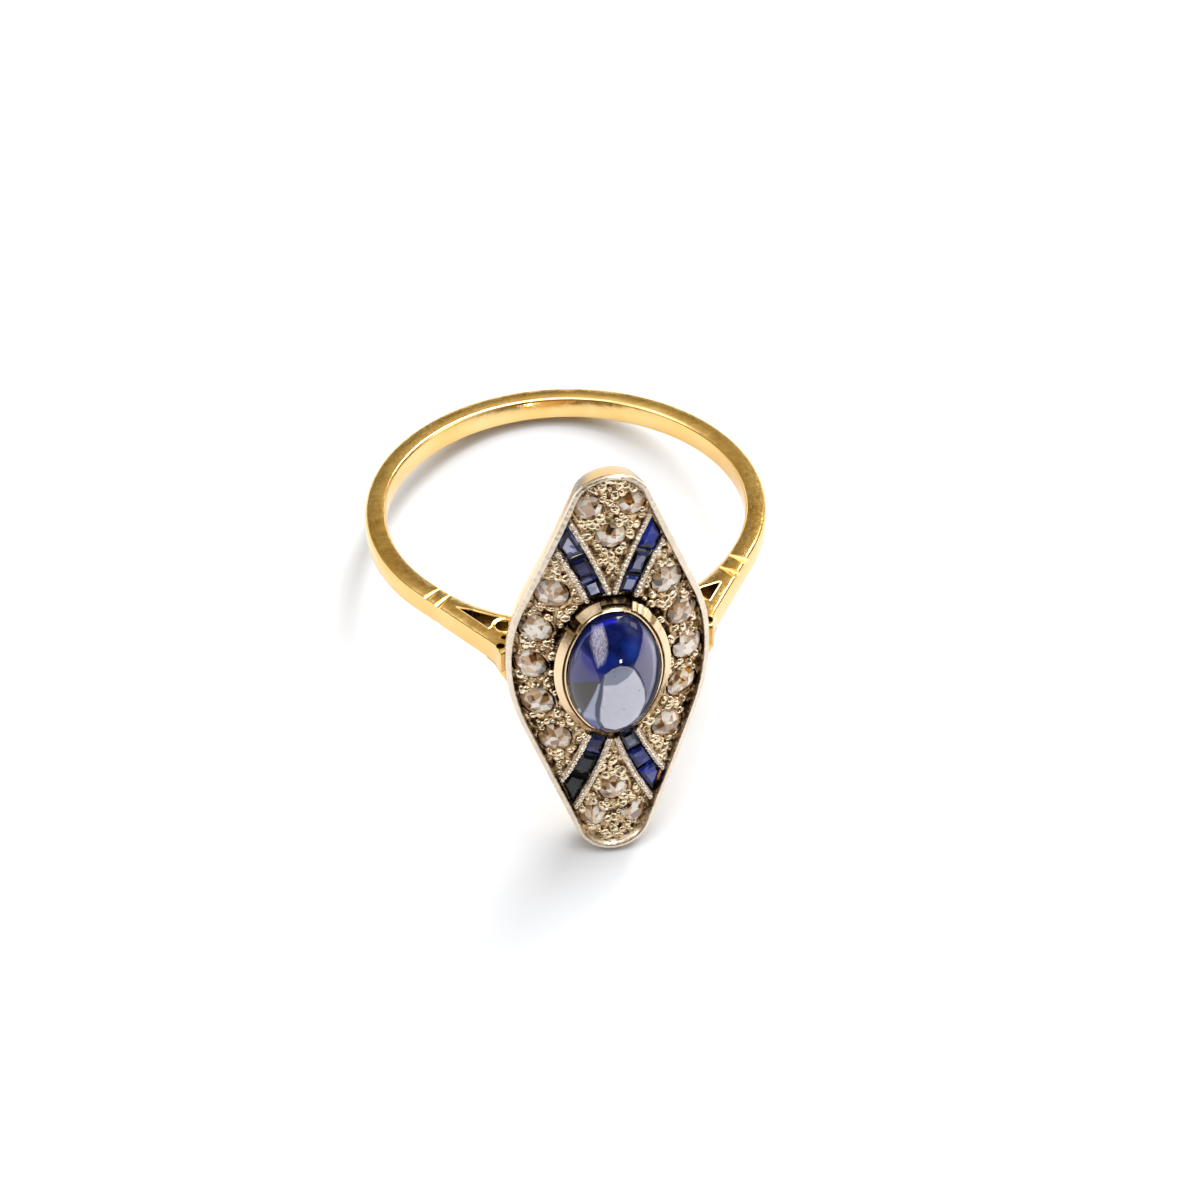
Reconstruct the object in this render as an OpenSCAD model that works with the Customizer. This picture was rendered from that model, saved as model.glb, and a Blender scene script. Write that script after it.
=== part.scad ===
// Navette ring: a slim gold hoop with pierced shoulders, a long pierced head set with old cut
// diamonds and rows of calibre sapphires, and an oval sapphire cabochon in a raised collet.
// All sizes are millimetres. The ring lies on its side: it rests on the lower tip of its head
// and on the back of the hoop. The head faces -Y and the finger axis leans back from +Z.

/* [Hoop] */
// Inside diameter of the hoop, which is the finger size
finger_d = 17.2; // [16:0.1:19]
// Thickness of the hoop outward from the finger
hoop_t = 1.0; // [0.8:0.05:1.2]
// Width of the hoop along the finger
hoop_w = 1.2; // [1:0.05:1.6]

/* [Shoulders] */
// Angle of the first notch on the left shoulder, from the middle of the head
notch_left = 52.5; // [51:0.5:56]
// Angle of the first notch on the right shoulder
notch_right = 51; // [51:0.5:56]
// Angle between the two notches on the left
notch_step_left = 4.5; // [4:0.5:6]
// Angle between the two notches on the right
notch_step_right = 6.5; // [5:0.5:7]
// Depth of each notch
notch_depth = 0.14; // [0.06:0.01:0.2]
// Bevel inside the shoulders, as deep as it would be under the middle of the head
bevel = 0.48; // [0.3:0.02:0.5]
// Shift of the bevel toward the head, which makes it fade out round the hoop
bevel_shift = 0.8; // [0.6:0.05:1]
// Metal left between the long slot and the finger
wire_t = 0.52; // [0.45:0.01:0.6]
// Metal left outside the long slot
bar_t = 0.52; // [0.4:0.02:0.6]
// Start of the long slot on the left, measured from where the shoulder leaves the hoop
slot_left = 2.25; // [2:0.05:3.2]
// Start of the long slot on the right
slot_right = 2.95; // [2:0.05:3.2]
// Diameter of the round scroll hole beside the head
scroll_d = 0.86; // [0.6:0.02:0.9]
// Metal round the scroll hole
scroll_wall = 0.14; // [0.1:0.01:0.18]
// Diameter of the small hole between the scroll and the head
pin_hole_d = 0.3; // [0.2:0.01:0.34]
// Diameter of the corner hole between the bar and the head
corner_hole_d = 0.4; // [0.2:0.02:0.44]
// Distance of the middle of the scroll hole from the head, along the shoulder
scroll_back = 1.27; // [1.2:0.01:1.4]
// Distance of the middle of the small hole from the head
pin_back = 0.64; // [0.5:0.02:0.7]
// Distance of the middle of the corner hole from the head
corner_back = 0.3; // [0.24:0.02:0.36]
// Length of the flare in which each shoulder spreads to meet the head
flare_l = 1.2; // [1:0.05:1.4]
// Distance by which the flare stands out from the shoulder's line at the head
flare_out = 0.22; // [0.14:0.02:0.26]
// Half width of each shoulder's foot where it spreads on the side of the head
foot_w = 1.4; // [0.9:0.05:1.6]

/* [Head] */
// Length of the head along the finger
head_l = 21.8; // [21.4:0.1:24]
// Width of the head across the finger
head_w = 9.5; // [9.4:0.1:10.5]
// Radius of the rounded tips of the head
tip_r = 1.86; // [1.8:0.02:2.2]
// Radius of the soft corners at the middle of the head
corner_r = 9.8; // [7:0.1:12]
// Radius to which the front of the head is curved round the finger
head_curve = 9.0; // [8.6:0.1:14]
// Height of the front of the head above the finger
head_rise = 3.44; // [3.2:0.02:4]
// Depth of the gold wall below the white metal
gold_edge = 1.06; // [0.86:0.02:1.1]
// Depth of the white metal at the outer edge of the head
white_edge = 0.16; // [0.12:0.01:0.25]
// Distance by which the gold wall draws in toward its foot
wall_taper = 0.3; // [0.1:0.02:0.34]
// Width of the raised white rim
rim_w = 0.35; // [0.34:0.01:0.38]
// Thickness of the gold wall behind the rim
gold_wall = 0.24; // [0.2:0.01:0.25]
// Height of the rim over the pierced floor
rim_h = 0.45; // [0.38:0.01:0.5]
// Thickness of the pierced white floor
floor_t = 0.22; // [0.18:0.01:0.26]
// Clearance between the white plate and the gold, and round each stone
clear = 0.03; // [0.02:0.005:0.05]

/* [Collet and cabochon] */
// Length of the oval cabochon
cab_l = 6.86; // [6.4:0.02:7]
// Width of the oval cabochon
cab_w = 4.4; // [4.2:0.02:4.5]
// Radius of the ends of the oval
oval_end_r = 1.6; // [1.5:0.02:1.8]
// Height of the dome above the collet
cab_h = 1.3; // [1:0.05:2]
// Depth of the cabochon below the lip of the collet
cab_base = 0.5; // [0.3:0.02:0.6]
// Thickness of the thin lip that holds the cabochon
lip_t = 0.12; // [0.08:0.01:0.15]
// Width of the whole collet outside the cabochon
collet_w = 0.5; // [0.4:0.02:0.52]
// Height of the collet's lip over the front of the head
lip_h = 0.12; // [0.05:0.01:0.25]
// Drop of the collet's sloping rim
collet_slope = 0.32; // [0.2:0.02:0.4]

/* [Diamonds] */
// Diameter of the ten flank diamonds
flank_d = 1.6; // [1.4:0.02:1.62]
// Distance between flank diamonds along the finger
flank_pitch = 2.12; // [2.06:0.02:2.2]
// Diameter of the paired diamonds near each tip
fan_d = 1.3; // [1.1:0.02:1.32]
// Half the distance between the paired diamonds
fan_x = 0.97; // [0.86:0.01:0.98]
// Distance from the tip of the head to the paired diamonds
fan_in = 1.86; // [1.84:0.02:2]
// Diameter of the single diamond of each fan
apex_d = 1.44; // [1.2:0.02:1.5]
// Distance from the tip of the head to the single diamond
apex_in = 3.5; // [3.4:0.02:3.6]
// Height of a diamond's crown
crown_h = 0.28; // [0.2:0.01:0.32]
// Depth of a diamond's pavilion
pavilion_h = 0.5; // [0.4:0.01:0.52]
// Radius of the small beads of metal that hold the diamonds
grain_r = 0.15; // [0.1:0.01:0.16]

/* [Sapphires] */
// Width of the sapphire row at the collet
row_w_in = 0.76; // [0.6:0.02:0.84]
// Width of the sapphire row at the rim
row_w_out = 1.0; // [0.8:0.02:1.04]
// Length of the first sapphire, next to the collet
cal_l_in = 1.1; // [1:0.02:1.2]
// Length of the second sapphire
cal_l_mid = 1.3; // [1.2:0.02:1.4]
// Lean of the first sapphire away from the finger's direction
row_lean = 20; // [18:0.5:22]
// Extra lean of each next sapphire
row_bend = 3.5; // [2.5:0.5:4.5]
// Height of a sapphire's crown
cal_crown_h = 0.16; // [0.1:0.01:0.2]
// Depth of a sapphire below its crown
cal_depth = 0.4; // [0.3:0.02:0.46]
// Distance of the start of each row from the middle of the head
row_x = 0.62; // [0.6:0.01:0.7]
// Width of the milgrained strips beside the sapphires
strip_w = 0.24; // [0.16:0.01:0.26]
// Height of the strips over the pierced floor
strip_h = 0.24; // [0.15:0.01:0.28]

/* [Hidden] */
$fn = 64;

gold = [0.86, 0.66, 0.30];
white_metal = [0.86, 0.83, 0.78];
diamond_colour = [0.85, 0.80, 0.72];
sapphire_blue = [0.10, 0.14, 0.42];

finger_r = finger_d / 2;
hoop_r = finger_r + hoop_t;
front_f = finger_r + head_rise;
axis_f = front_f - head_curve;
head_depth = white_edge + clear + gold_edge;
floor_h = -rim_h;
floor_back_h = -rim_h - floor_t;

// The straight flanks of the head join a tip arc to a corner arc. flank_a is the direction
// that a flank faces, and flank_k its distance from the middle.
tip_n = head_l / 2 - tip_r;
corner_x = head_w / 2 - corner_r;
flank_a = atan2(-tip_n, corner_x) + acos((tip_r - corner_r) / norm([corner_x, tip_n]));
flank_k = tip_n * sin(flank_a) + tip_r;

// A quarter of the head's outline from the tip to the side, inset by t.
function navette_quarter(t) = concat(
    [for (i = [0:8]) let (a = 90 + (flank_a - 90) * i / 8)
        [(tip_r - t) * cos(a), tip_n + (tip_r - t) * sin(a)]],
    [for (i = [0:5]) let (a = flank_a * (1 - i / 5))
        [corner_x + (corner_r - t) * cos(a), (corner_r - t) * sin(a)]]);
function mirror_points(q) = let (m = len(q)) concat(
    q,
    [for (i = [m - 2:-1:0]) [q[i].x, -q[i].y]],
    [for (i = [1:m - 1]) [-q[i].x, -q[i].y]],
    [for (i = [m - 2:-1:1]) [-q[i].x, q[i].y]]);
// Half width of the head, inset by t, at a distance n from its middle.
function navette_x(n, t) = abs(n) < (corner_r - t) * sin(flank_a)
    ? corner_x + sqrt(pow(corner_r - t, 2) - n * n)
    : (flank_k - t - abs(n) * sin(flank_a)) / cos(flank_a);

// The oval is drawn with four arcs. Its side arcs follow from its length, width and end radius.
oval_n = cab_l / 2 - oval_end_r;
oval_side_r = (oval_n * oval_n + pow(cab_w / 2, 2) - pow(oval_end_r, 2)) / (cab_w - 2 * oval_end_r);
oval_x = oval_side_r - cab_w / 2;
oval_turn = atan2(oval_n, oval_x);
oval_steps = 12;
// The oval, set out by t.
function oval_quarter(t) = [for (i = [0:oval_steps]) let (a = 90 * i / oval_steps)
    a < oval_turn ? [(oval_side_r + t) * cos(a) - oval_x, (oval_side_r + t) * sin(a)]
                  : [(oval_end_r + t) * cos(a), oval_n + (oval_end_r + t) * sin(a)]];
function oval(t) = let (q = oval_quarter(t), m = oval_steps) concat(
    q,
    [for (i = [m - 1:-1:0]) [-q[i].x, q[i].y]],
    [for (i = [1:m]) [-q[i].x, -q[i].y]],
    [for (i = [m - 1:-1:1]) [q[i].x, -q[i].y]]);

// Puts its children on the curved front of the head, at x across and n along the finger,
// with +Z outward and the level h measured from the front.
module on_head(x, n, h = 0) {
    translate([0, -axis_f, n]) rotate([0, 0, asin(x / (head_curve + h))])
        translate([0, -(head_curve + h), 0]) rotate([90, 0, 0]) children();
}

// Turns an outline in the plane of the head into a prism that runs through the head.
module through_head() {
    translate([0, -(axis_f + head_curve / 2), 0]) rotate([90, 0, 0])
        linear_extrude(height = head_curve) children();
}

// Everything below the level h of the curved front.
module below(h) {
    translate([0, -axis_f, -head_l]) cylinder(r = head_curve + h, h = 2 * head_l, $fn = 180);
}

module head_outline(t) { polygon(mirror_points(navette_quarter(t))); }

// The gold wall under the rim: straight sides that draw in by wall_taper over its depth.
wall_levels = [[head_depth, 0, 0], [-white_edge - clear, 1, 0], [-head_depth * 1.16, 1, 1.2],
    [-2 * head_depth, 0, 1.2]];
module tapered_head() {
    outline = mirror_points(navette_quarter(0));
    m = len(outline);
    last = len(wall_levels) - 1;
    // How far the front has fallen back at x.
    function fall(x) = head_curve - sqrt(head_curve * head_curve - x * x);
    polyhedron(
        points = [for (v = wall_levels)
            let (ring = mirror_points(navette_quarter(v.z * wall_taper)))
            for (i = [0:m - 1]) [ring[i].x, -front_f - v.x + v.y * fall(outline[i].x), ring[i].y]],
        faces = concat(
            [[for (i = [0:m - 1]) i]],
            [for (k = [0:last - 1], i = [0:m - 1]) let (j = (i + 1) % m)
                [k * m + j, k * m + i, (k + 1) * m + i]],
            [for (k = [0:last - 1], i = [0:m - 1]) let (j = (i + 1) % m)
                [k * m + j, (k + 1) * m + i, (k + 1) * m + j]],
            [[for (i = [m - 1:-1:0]) last * m + i]]));
}

// A slice of the curved head between two levels, inset by t.
module head_layer(low, high, t) {
    difference() {
        intersection() {
            through_head() head_outline(t);
            below(high);
        }
        below(low);
    }
}

// Lays the ring on its side, as it rests.
tip_f = front_f - head_depth;
lean = atan2(head_l / 2 - wall_taper - hoop_w / 2, tip_f + hoop_r);
lift = hoop_r * sin(lean) + hoop_w / 2 * cos(lean);
front_y = -front_f * cos(lean) - head_l / 2 * sin(lean);
back_y = hoop_r * cos(lean) + hoop_w / 2 * sin(lean);
module at_rest() {
    translate([0, -(front_y + back_y) / 2, lift]) rotate([-lean, 0, 0]) children();
}

// The outline of the shoulder is a line that leaves the hoop at a tangent and meets the side
// of the head below the white metal. Places on a shoulder are measured in from that line, and
// along it from the hoop.
meet_x = head_w / 2;
meet_f = axis_f + sqrt(pow(head_curve - white_edge - clear, 2) - meet_x * meet_x) - gold_edge / 8;
leave_a = atan2(meet_x, meet_f) + acos(hoop_r / norm([meet_x, meet_f]));
shoulder_l = sqrt(pow(norm([meet_x, meet_f]), 2) - hoop_r * hoop_r);
shoulder_end_x = meet_x * 0.8;
// The shoulder goes up inside the gold wall, and under the plate it stays below this level.
under_h = floor_back_h - clear - gold_wall / 3;
function under_f(x) = axis_f + sqrt(pow(head_curve + under_h, 2) - x * x);
wall_x = meet_x - gold_wall / 2;
function polar(r, a) = [r * sin(a), -r * cos(a)];
function on_shoulder(in, along) =
    polar(hoop_r - in, leave_a) - along * [cos(leave_a), sin(leave_a)];
scroll_in = bar_t + scroll_wall + scroll_d / 2 + hoop_t / 10;
scroll_along = shoulder_l - scroll_back;
scroll_c = on_shoulder(scroll_in, scroll_along);
pin_c = on_shoulder(bar_t + pin_hole_d / 3, shoulder_l - pin_back);
corner_c = on_shoulder(corner_hole_d / 5, shoulder_l - corner_back);
flare_top = flare_out * 0.64;
flare = [on_shoulder(0, shoulder_l - flare_l), on_shoulder(-flare_out / 3, shoulder_l - flare_l * 0.54),
    on_shoulder(-flare_out, shoulder_l - flare_l / 6), [meet_x + flare_top, -meet_f - flare_top],
    [wall_x, -meet_f - flare_top]];

module shoulder_outline() {
    polygon(concat([polar(hoop_r, leave_a)], flare,
        [[wall_x, -under_f(wall_x)], [shoulder_end_x, -under_f(shoulder_end_x)],
            [shoulder_end_x, 0], polar(finger_r / 2, leave_a)]));
}

// The foot spreads the outer face of the shoulder along the side of the head.
module feet() {
    half = hoop_w / 2;
    spread = foot_w - half;
    plan = [[meet_x + flare_l * 0.75, half * 0.97], [meet_x + flare_l * 0.375, half + spread * 0.06],
        [meet_x + flare_l * 0.21, half + spread * 0.175], [meet_x + flare_l * 0.083, half + spread * 0.425],
        [meet_x, foot_w], [meet_x - flare_l / 6, foot_w]];
    for (side = [0, 1]) mirror([side, 0, 0]) intersection() {
        through_head() polygon(concat(plan, [for (i = [5:-1:0]) [plan[i].x, -plan[i].y]]));
        translate([0, 0, -foot_w]) linear_extrude(height = 2 * foot_w) difference() {
            polygon(concat(flare,
                [on_shoulder(bar_t, shoulder_l + flare_l / 4), on_shoulder(bar_t, shoulder_l - flare_l)]));
            translate(corner_c) circle(d = corner_hole_d, $fn = 32);
        }
    }
}

// The long slot runs between the bar and the wire, and ends against the scroll.
module slot_outline(start) {
    difference() {
        stop = scroll_along - scroll_d * 0.42;
        polygon([on_shoulder(bar_t, start), on_shoulder(bar_t, stop),
            on_shoulder(2 * finger_r / 5, stop), on_shoulder(2 * finger_r / 5, start)]);
        circle(r = finger_r + wire_t, $fn = 180);
        translate(scroll_c) circle(d = scroll_d + 2 * scroll_wall, $fn = 32);
    }
}

module shank_outline() {
    difference() {
        union() {
            difference() {
                circle(r = hoop_r, $fn = 180);
                polygon([[0, 0], 2 * polar(hoop_r, leave_a - 1), 3 * polar(hoop_r, 0),
                    2 * polar(hoop_r, 1 - leave_a)]);
            }
            for (side = [0, 1]) mirror([side, 0]) shoulder_outline();
        }
        circle(r = finger_r, $fn = 180);
        for (side = [0, 1]) mirror([side, 0]) {
            slot_outline(side == 0 ? slot_right : slot_left);
            translate(scroll_c) circle(d = scroll_d, $fn = 32);
            translate(pin_c) circle(d = pin_hole_d, $fn = 32);
            translate(corner_c) circle(d = corner_hole_d, $fn = 32);
        }
    }
}

// Two notches filed across each shoulder, at the edges of both side faces.
module notches() {
    for (side = [-1, 1], k = [0, 1]) {
        a = side > 0 ? notch_right - k * notch_step_right : notch_left - k * notch_step_left;
        for (face = [-1, 1]) rotate([0, 0, side * a]) translate([0, -hoop_r, face * hoop_w / 2])
            rotate([0, 45, 0]) cube([sqrt(2) * notch_depth, 3 * hoop_t, sqrt(2) * notch_depth],
                center = true);
    }
}

// The bevels inside the shoulders, cut by cones set toward the head.
module bevels() {
    reach = hoop_w / 2;
    for (face = [0, 1]) mirror([0, 0, face])
        translate([0, -bevel_shift, 0]) cylinder(r1 = finger_r + bevel - bevel_shift - reach,
            r2 = finger_r + bevel - bevel_shift + reach, h = 2 * reach, $fn = 180);
}

// The places of the stones, all as [x, n] on the head.
flank_inset = rim_w + flank_d / 2 - 0.04;
flank = [for (k = [-2:2]) [navette_x(k * flank_pitch, flank_inset), k * flank_pitch]];
fan = [[-fan_x, head_l / 2 - fan_in], [fan_x, head_l / 2 - fan_in], [0, head_l / 2 - apex_in]];
diamonds = concat(
    [for (p = fan) [p.x, p.y, p.x == 0 ? apex_d : fan_d]],
    [for (p = flank) [-p.x, -p.y, flank_d]],
    [for (p = flank) [p.x, -p.y, flank_d]],
    [for (p = fan) [p.x, -p.y, p.x == 0 ? apex_d : fan_d]]);

// One row of sapphires, in the quarter of the head with x and n above zero. Each cross line
// of the row is [middle, half of the line].
collet_n = cab_l / 2 + collet_w + clear;
row_gap = clear;
row_dir = [for (k = [0:2]) [sin(row_lean + k * row_bend), cos(row_lean + k * row_bend)]];
row_0 = [row_x, collet_n + strip_w / 2];
row_1 = row_0 + row_dir[0] * (cal_l_in + row_gap);
row_2 = row_1 + row_dir[1] * (cal_l_mid + row_gap);
flank_n = [cos(flank_a), sin(flank_a)];
flank_dir = [-sin(flank_a), cos(flank_a)];
row_3 = row_2 + row_dir[2] * (flank_k - rim_w - clear - row_2 * flank_n) / (row_dir[2] * flank_n);
function across(k, w) = [row_dir[k].y, -row_dir[k].x] * w / 2;
function rim_line(w) = -flank_dir * w / 2 / (row_dir[2].x * flank_dir.y - row_dir[2].y * flank_dir.x);
row_w_1 = row_w_in + (row_w_out - row_w_in) / 3;
row_w_2 = row_w_in + (row_w_out - row_w_in) * 2 / 3;
// The two long edges of the row, each moved out by t.
function row_edge(side, t) = [
    row_0 + side * across(0, row_w_in + 2 * t),
    row_1 + side * across(1, row_w_1 + 2 * t),
    row_2 + side * across(2, row_w_2 + 2 * t),
    row_3 + side * rim_line(row_w_out + 2 * t)];
// The corners of each sapphire, with a gap left between neighbours.
function cal_corners(k) = let (a = row_edge(-1, 0), b = row_edge(1, 0), g = row_gap * row_dir[k])
    [a[k], b[k], b[k + 1] - g, a[k + 1] - g];
function middle(q) = (q[0] + q[1] + q[2] + q[3]) / 4;
quarters = [[1, 1], [-1, 1], [-1, -1], [1, -1]];

module cabochon_solid() {
    rings = 9;
    m = 4 * oval_steps;
    outline = oval(-clear);
    translate([0, -(front_f + lip_h), 0]) rotate([90, 0, 0])
        polyhedron(
            points = concat(
                [for (p = outline) [p.x, p.y, -cab_base]],
                [for (k = [0:rings - 1], p = outline) let (u = 90 * k / rings)
                    [p.x * cos(u), p.y * cos(u), cab_h * sin(u)]],
                [[0, 0, cab_h]]),
            faces = concat(
                [[for (i = [0:m - 1]) i]],
                [for (k = [0:rings - 1], i = [0:m - 1]) let (j = (i + 1) % m)
                    [k * m + i, (k + 1) * m + i, (k + 1) * m + j, k * m + j]],
                [for (i = [0:m - 1]) [rings * m + i, (rings + 1) * m, rings * m + (i + 1) % m]]));
}

// The collet is one section carried round the oval: a thin lip, a groove and a sloping rim.
groove = lip_t * 0.42;
collet_section = [
    [-2.5 * lip_t, -cab_base - clear], [0, -cab_base - clear], [0, 0], [lip_t, 0],
    [lip_t + groove, -groove * 2], [lip_t + groove * 2, 0], [collet_w, -collet_slope],
    [collet_w, -lip_h - head_depth], [-2.5 * lip_t, -lip_h - head_depth]];
module collet_solid() {
    m = 4 * oval_steps;
    s = len(collet_section);
    translate([0, -(front_f + lip_h), 0]) rotate([90, 0, 0])
        polyhedron(
            points = [for (c = collet_section, p = oval(c.x)) [p.x, p.y, c.y]],
            faces = [for (k = [0:s - 1], i = [0:m - 1]) let (j = (i + 1) % m, l = (k + 1) % s)
                [k * m + i, k * m + j, l * m + j, l * m + i]]);
}

// Where the sloping rim of the collet is cut away, as [from, to] in degrees round the oval.
collet_cuts = [[62, 106], [142, 150]];
module collet_cuts_solid() {
    reach = cab_l;
    for (c = collet_cuts) difference() {
        through_head() polygon([[0, 0], reach * [cos(c[0]), sin(c[0])],
            2 * reach * [cos((c[0] + c[1]) / 2), sin((c[0] + c[1]) / 2)], reach * [cos(c[1]), sin(c[1])]]);
        through_head() polygon(oval(lip_t));
        below(floor_back_h);
    }
}

// The seat of a diamond: a straight wall at the girdle and a cone below it.
module seat(d) {
    r = d / 2 + clear;
    rotate_extrude($fn = 32) polygon([[0, head_depth], [r, head_depth], [r, -girdle - clear],
        [r * 0.56, -girdle - clear - pavilion_h * 0.55], [r * 0.56, -head_depth], [0, -head_depth]]);
}
seat_h = floor_h + floor_t / 6;
girdle = crown_h * 0.2;
module seats() {
    for (p = diamonds) on_head(p.x, p.y, seat_h) seat(p.z);
}

// The channel that holds a row of sapphires, moved out by t.
module channels(t) {
    ends = [-t * row_dir[0], [0, 0], [0, 0], t * row_dir[2]];
    for (q = quarters) scale_quarter(q) through_head()
        polygon(concat(row_edge(-1, t) + ends, [for (k = [3:-1:0]) row_edge(1, t)[k] + ends[k]]));
}
module scale_quarter(q) {
    mirror([q.x < 0 ? 1 : 0, 0, 0]) mirror([0, 0, q.y < 0 ? 1 : 0]) children();
}

// The milgrained strips beside each row.
module strips() {
    intersection() {
        for (q = quarters, side = [-1, 1]) scale_quarter(q) through_head()
            polygon(concat(row_edge(side, clear), [for (k = [3:-1:0]) row_edge(side, clear + strip_w)[k]]));
        head_layer(floor_h - floor_t * 0.45, floor_h + strip_h, rim_w * 0.86);
    }
}

// The beads: two between neighbouring flank stones, three in each narrow end, and five in
// each fan. Each place is [x, n] in the quarter with x and n at or above zero.
grain_side = flank_d * 0.3;
grain_in = rim_w + grain_r + clear;
end_n = 2 * flank_pitch + flank_d / 2 + grain_r * 1.67;
grains = concat(
    [for (k = [2, 3], s = [-1, 1]) let (a = flank[k], b = flank[k + 1], d = (b - a) / norm(b - a))
        (a + b) / 2 + s * grain_side * [d.y, -d.x]],
    [for (p = [[0, 0], [2.8 * grain_r, 0], [1.1 * grain_r, 3 * grain_r]])
        [navette_x(end_n + p.y, grain_in) - p.x, end_n + p.y]],
    [[0, head_l / 2 - rim_w - 3.8 * grain_r], [0, head_l / 2 - fan_in + grain_r * 0.67],
        [fan_x * 0.95, head_l / 2 - (fan_in + apex_in) / 2 - grain_r * 0.8]]);
module grains_solid() {
    for (q = quarters, p = grains)
        if (!(p.x == 0 && q.x < 0)) scale_quarter(q)
            on_head(p.x, p.y, floor_h + grain_r * 0.5) sphere(r = grain_r, $fn = 16);
}

module gold_ring() {
    color(gold) at_rest() difference() {
        union() {
            difference() {
                translate([0, 0, -hoop_w / 2]) linear_extrude(height = hoop_w) shank_outline();
                notches();
                bevels();
            }
            feet();
            difference() {
                intersection() {
                    tapered_head();
                    below(-white_edge - clear);
                }
                below(-head_depth);
                difference() {
                    through_head() head_outline(gold_wall);
                    below(floor_back_h - clear);
                }
                intersection() {
                    through_head() polygon(oval(collet_w * 0.8));
                    below(head_depth);
                }
                channels(-strip_w / 3);
            }
            difference() {
                collet_solid();
                collet_cuts_solid();
            }
        }
        seats();
        cylinder(r = finger_r, h = hoop_w * 4, center = true, $fn = 180);
    }
}

module white_plate() {
    color(white_metal) at_rest() difference() {
        union() {
            difference() {
                union() {
                    head_layer(-white_edge, 0, 0);
                    head_layer(floor_back_h, -white_edge / 2, gold_wall + clear);
                }
                difference() {
                    through_head() head_outline(rim_w);
                    below(floor_h);
                }
            }
            strips();
            grains_solid();
        }
        seats();
        channels(1.5 * clear);
        through_head() polygon(oval(collet_w + clear));
    }
}

module cabochon() {
    color(sapphire_blue) at_rest() cabochon_solid();
}

// An old cut diamond: a table, eight stars, eight kites, a girdle, a pavilion and a culet.
module old_cut(d) {
    r = d / 2;
    function ring(n, rr, z, turn) = [for (i = [0:n - 1])
        [rr * cos(turn + i * 360 / n), rr * sin(turn + i * 360 / n), z]];
    t = 0;
    m = 8;
    g = 16;
    b = 32;
    c = 48;
    polyhedron(
        points = concat(ring(8, r * 0.52, crown_h, 0), ring(8, r * 0.8, crown_h * 0.55, 22.5),
            ring(16, r, 0, 0), ring(16, r, -girdle, 0), ring(8, r * 0.12, -girdle - pavilion_h, 0)),
        faces = concat(
            [[for (i = [7:-1:0]) t + i]],
            [for (i = [0:7]) [t + i, t + (i + 1) % 8, m + i]],
            [for (i = [0:7]) [t + i, m + i, g + 2 * i]],
            [for (i = [0:7]) [t + i, g + 2 * i, m + (i + 7) % 8]],
            [for (i = [0:7]) [m + i, g + 2 * i + 1, g + 2 * i]],
            [for (i = [0:7]) [m + i, g + (2 * i + 2) % 16, g + 2 * i + 1]],
            [for (i = [0:15]) let (j = (i + 1) % 16) [g + i, g + j, b + j, b + i]],
            [for (i = [0:7]) [c + i, b + 2 * i, b + 2 * i + 1]],
            [for (i = [0:7]) let (j = (i + 1) % 8) [c + j, c + i, b + 2 * i + 1]],
            [for (i = [0:7]) let (j = (i + 1) % 8) [c + j, b + 2 * i + 1, b + 2 * j]],
            [[for (i = [0:7]) c + i]]));
}
module diamond(k) {
    p = diamonds[k];
    color(diamond_colour) at_rest() on_head(p.x, p.y, seat_h) old_cut(p.z);
}

// A calibre sapphire, step cut to its four corners. Each ring is [share of the outline, share of
// the crown's height, share of the depth].
cal_rings = [[0.62, 1, 0], [0.86, 0.5, 0], [1, 0, 0], [1, 0, 0.2], [0.7, 0, 0.65], [0.2, 0, 1]];
module step_cut(q) {
    c = middle(q);
    n = len(cal_rings);
    polyhedron(
        points = [for (r = cal_rings, p = q)
            [(p.x - c.x) * r[0], (p.y - c.y) * r[0], r[1] * cal_crown_h - r[2] * cal_depth]],
        faces = concat([[3, 2, 1, 0]],
            [for (k = [0:n - 2], i = [0:3]) let (j = (i + 1) % 4)
                [4 * k + i, 4 * k + j, 4 * (k + 1) + j, 4 * (k + 1) + i]],
            [[for (i = [0:3]) 4 * (n - 1) + i]]));
}
module sapphire(k) {
    q = cal_corners(k % 3);
    c = middle(q);
    color(sapphire_blue) at_rest() scale_quarter(quarters[floor(k / 3)])
        on_head(c.x, c.y, seat_h) step_cut(q);
}

gold_ring();
white_plate();
cabochon();
for (k = [0:15]) diamond(k);
for (k = [0:11]) sapphire(k);
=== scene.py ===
import math

import bpy
import numpy as np
from mathutils import Matrix


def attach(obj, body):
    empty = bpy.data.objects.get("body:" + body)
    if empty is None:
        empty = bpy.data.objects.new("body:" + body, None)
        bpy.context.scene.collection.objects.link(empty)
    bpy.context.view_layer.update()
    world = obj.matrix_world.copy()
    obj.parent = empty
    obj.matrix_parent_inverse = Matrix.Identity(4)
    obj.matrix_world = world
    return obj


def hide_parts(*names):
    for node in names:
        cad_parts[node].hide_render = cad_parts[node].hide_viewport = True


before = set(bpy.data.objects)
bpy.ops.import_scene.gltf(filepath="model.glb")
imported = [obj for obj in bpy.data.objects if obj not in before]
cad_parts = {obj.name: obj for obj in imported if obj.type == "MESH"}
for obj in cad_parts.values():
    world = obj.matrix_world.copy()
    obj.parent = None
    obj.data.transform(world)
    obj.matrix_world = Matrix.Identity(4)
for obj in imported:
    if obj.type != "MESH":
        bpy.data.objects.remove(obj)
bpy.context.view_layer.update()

# The camera stands where the photograph was taken from: a long lens, about 17 cm away, looking
# down at the head. Its place is first worked out on the ring itself, and then laid back with it.
LEAN, SHIFT, LIFT = math.radians(26.12502), 3.363065, 4.765881


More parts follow.
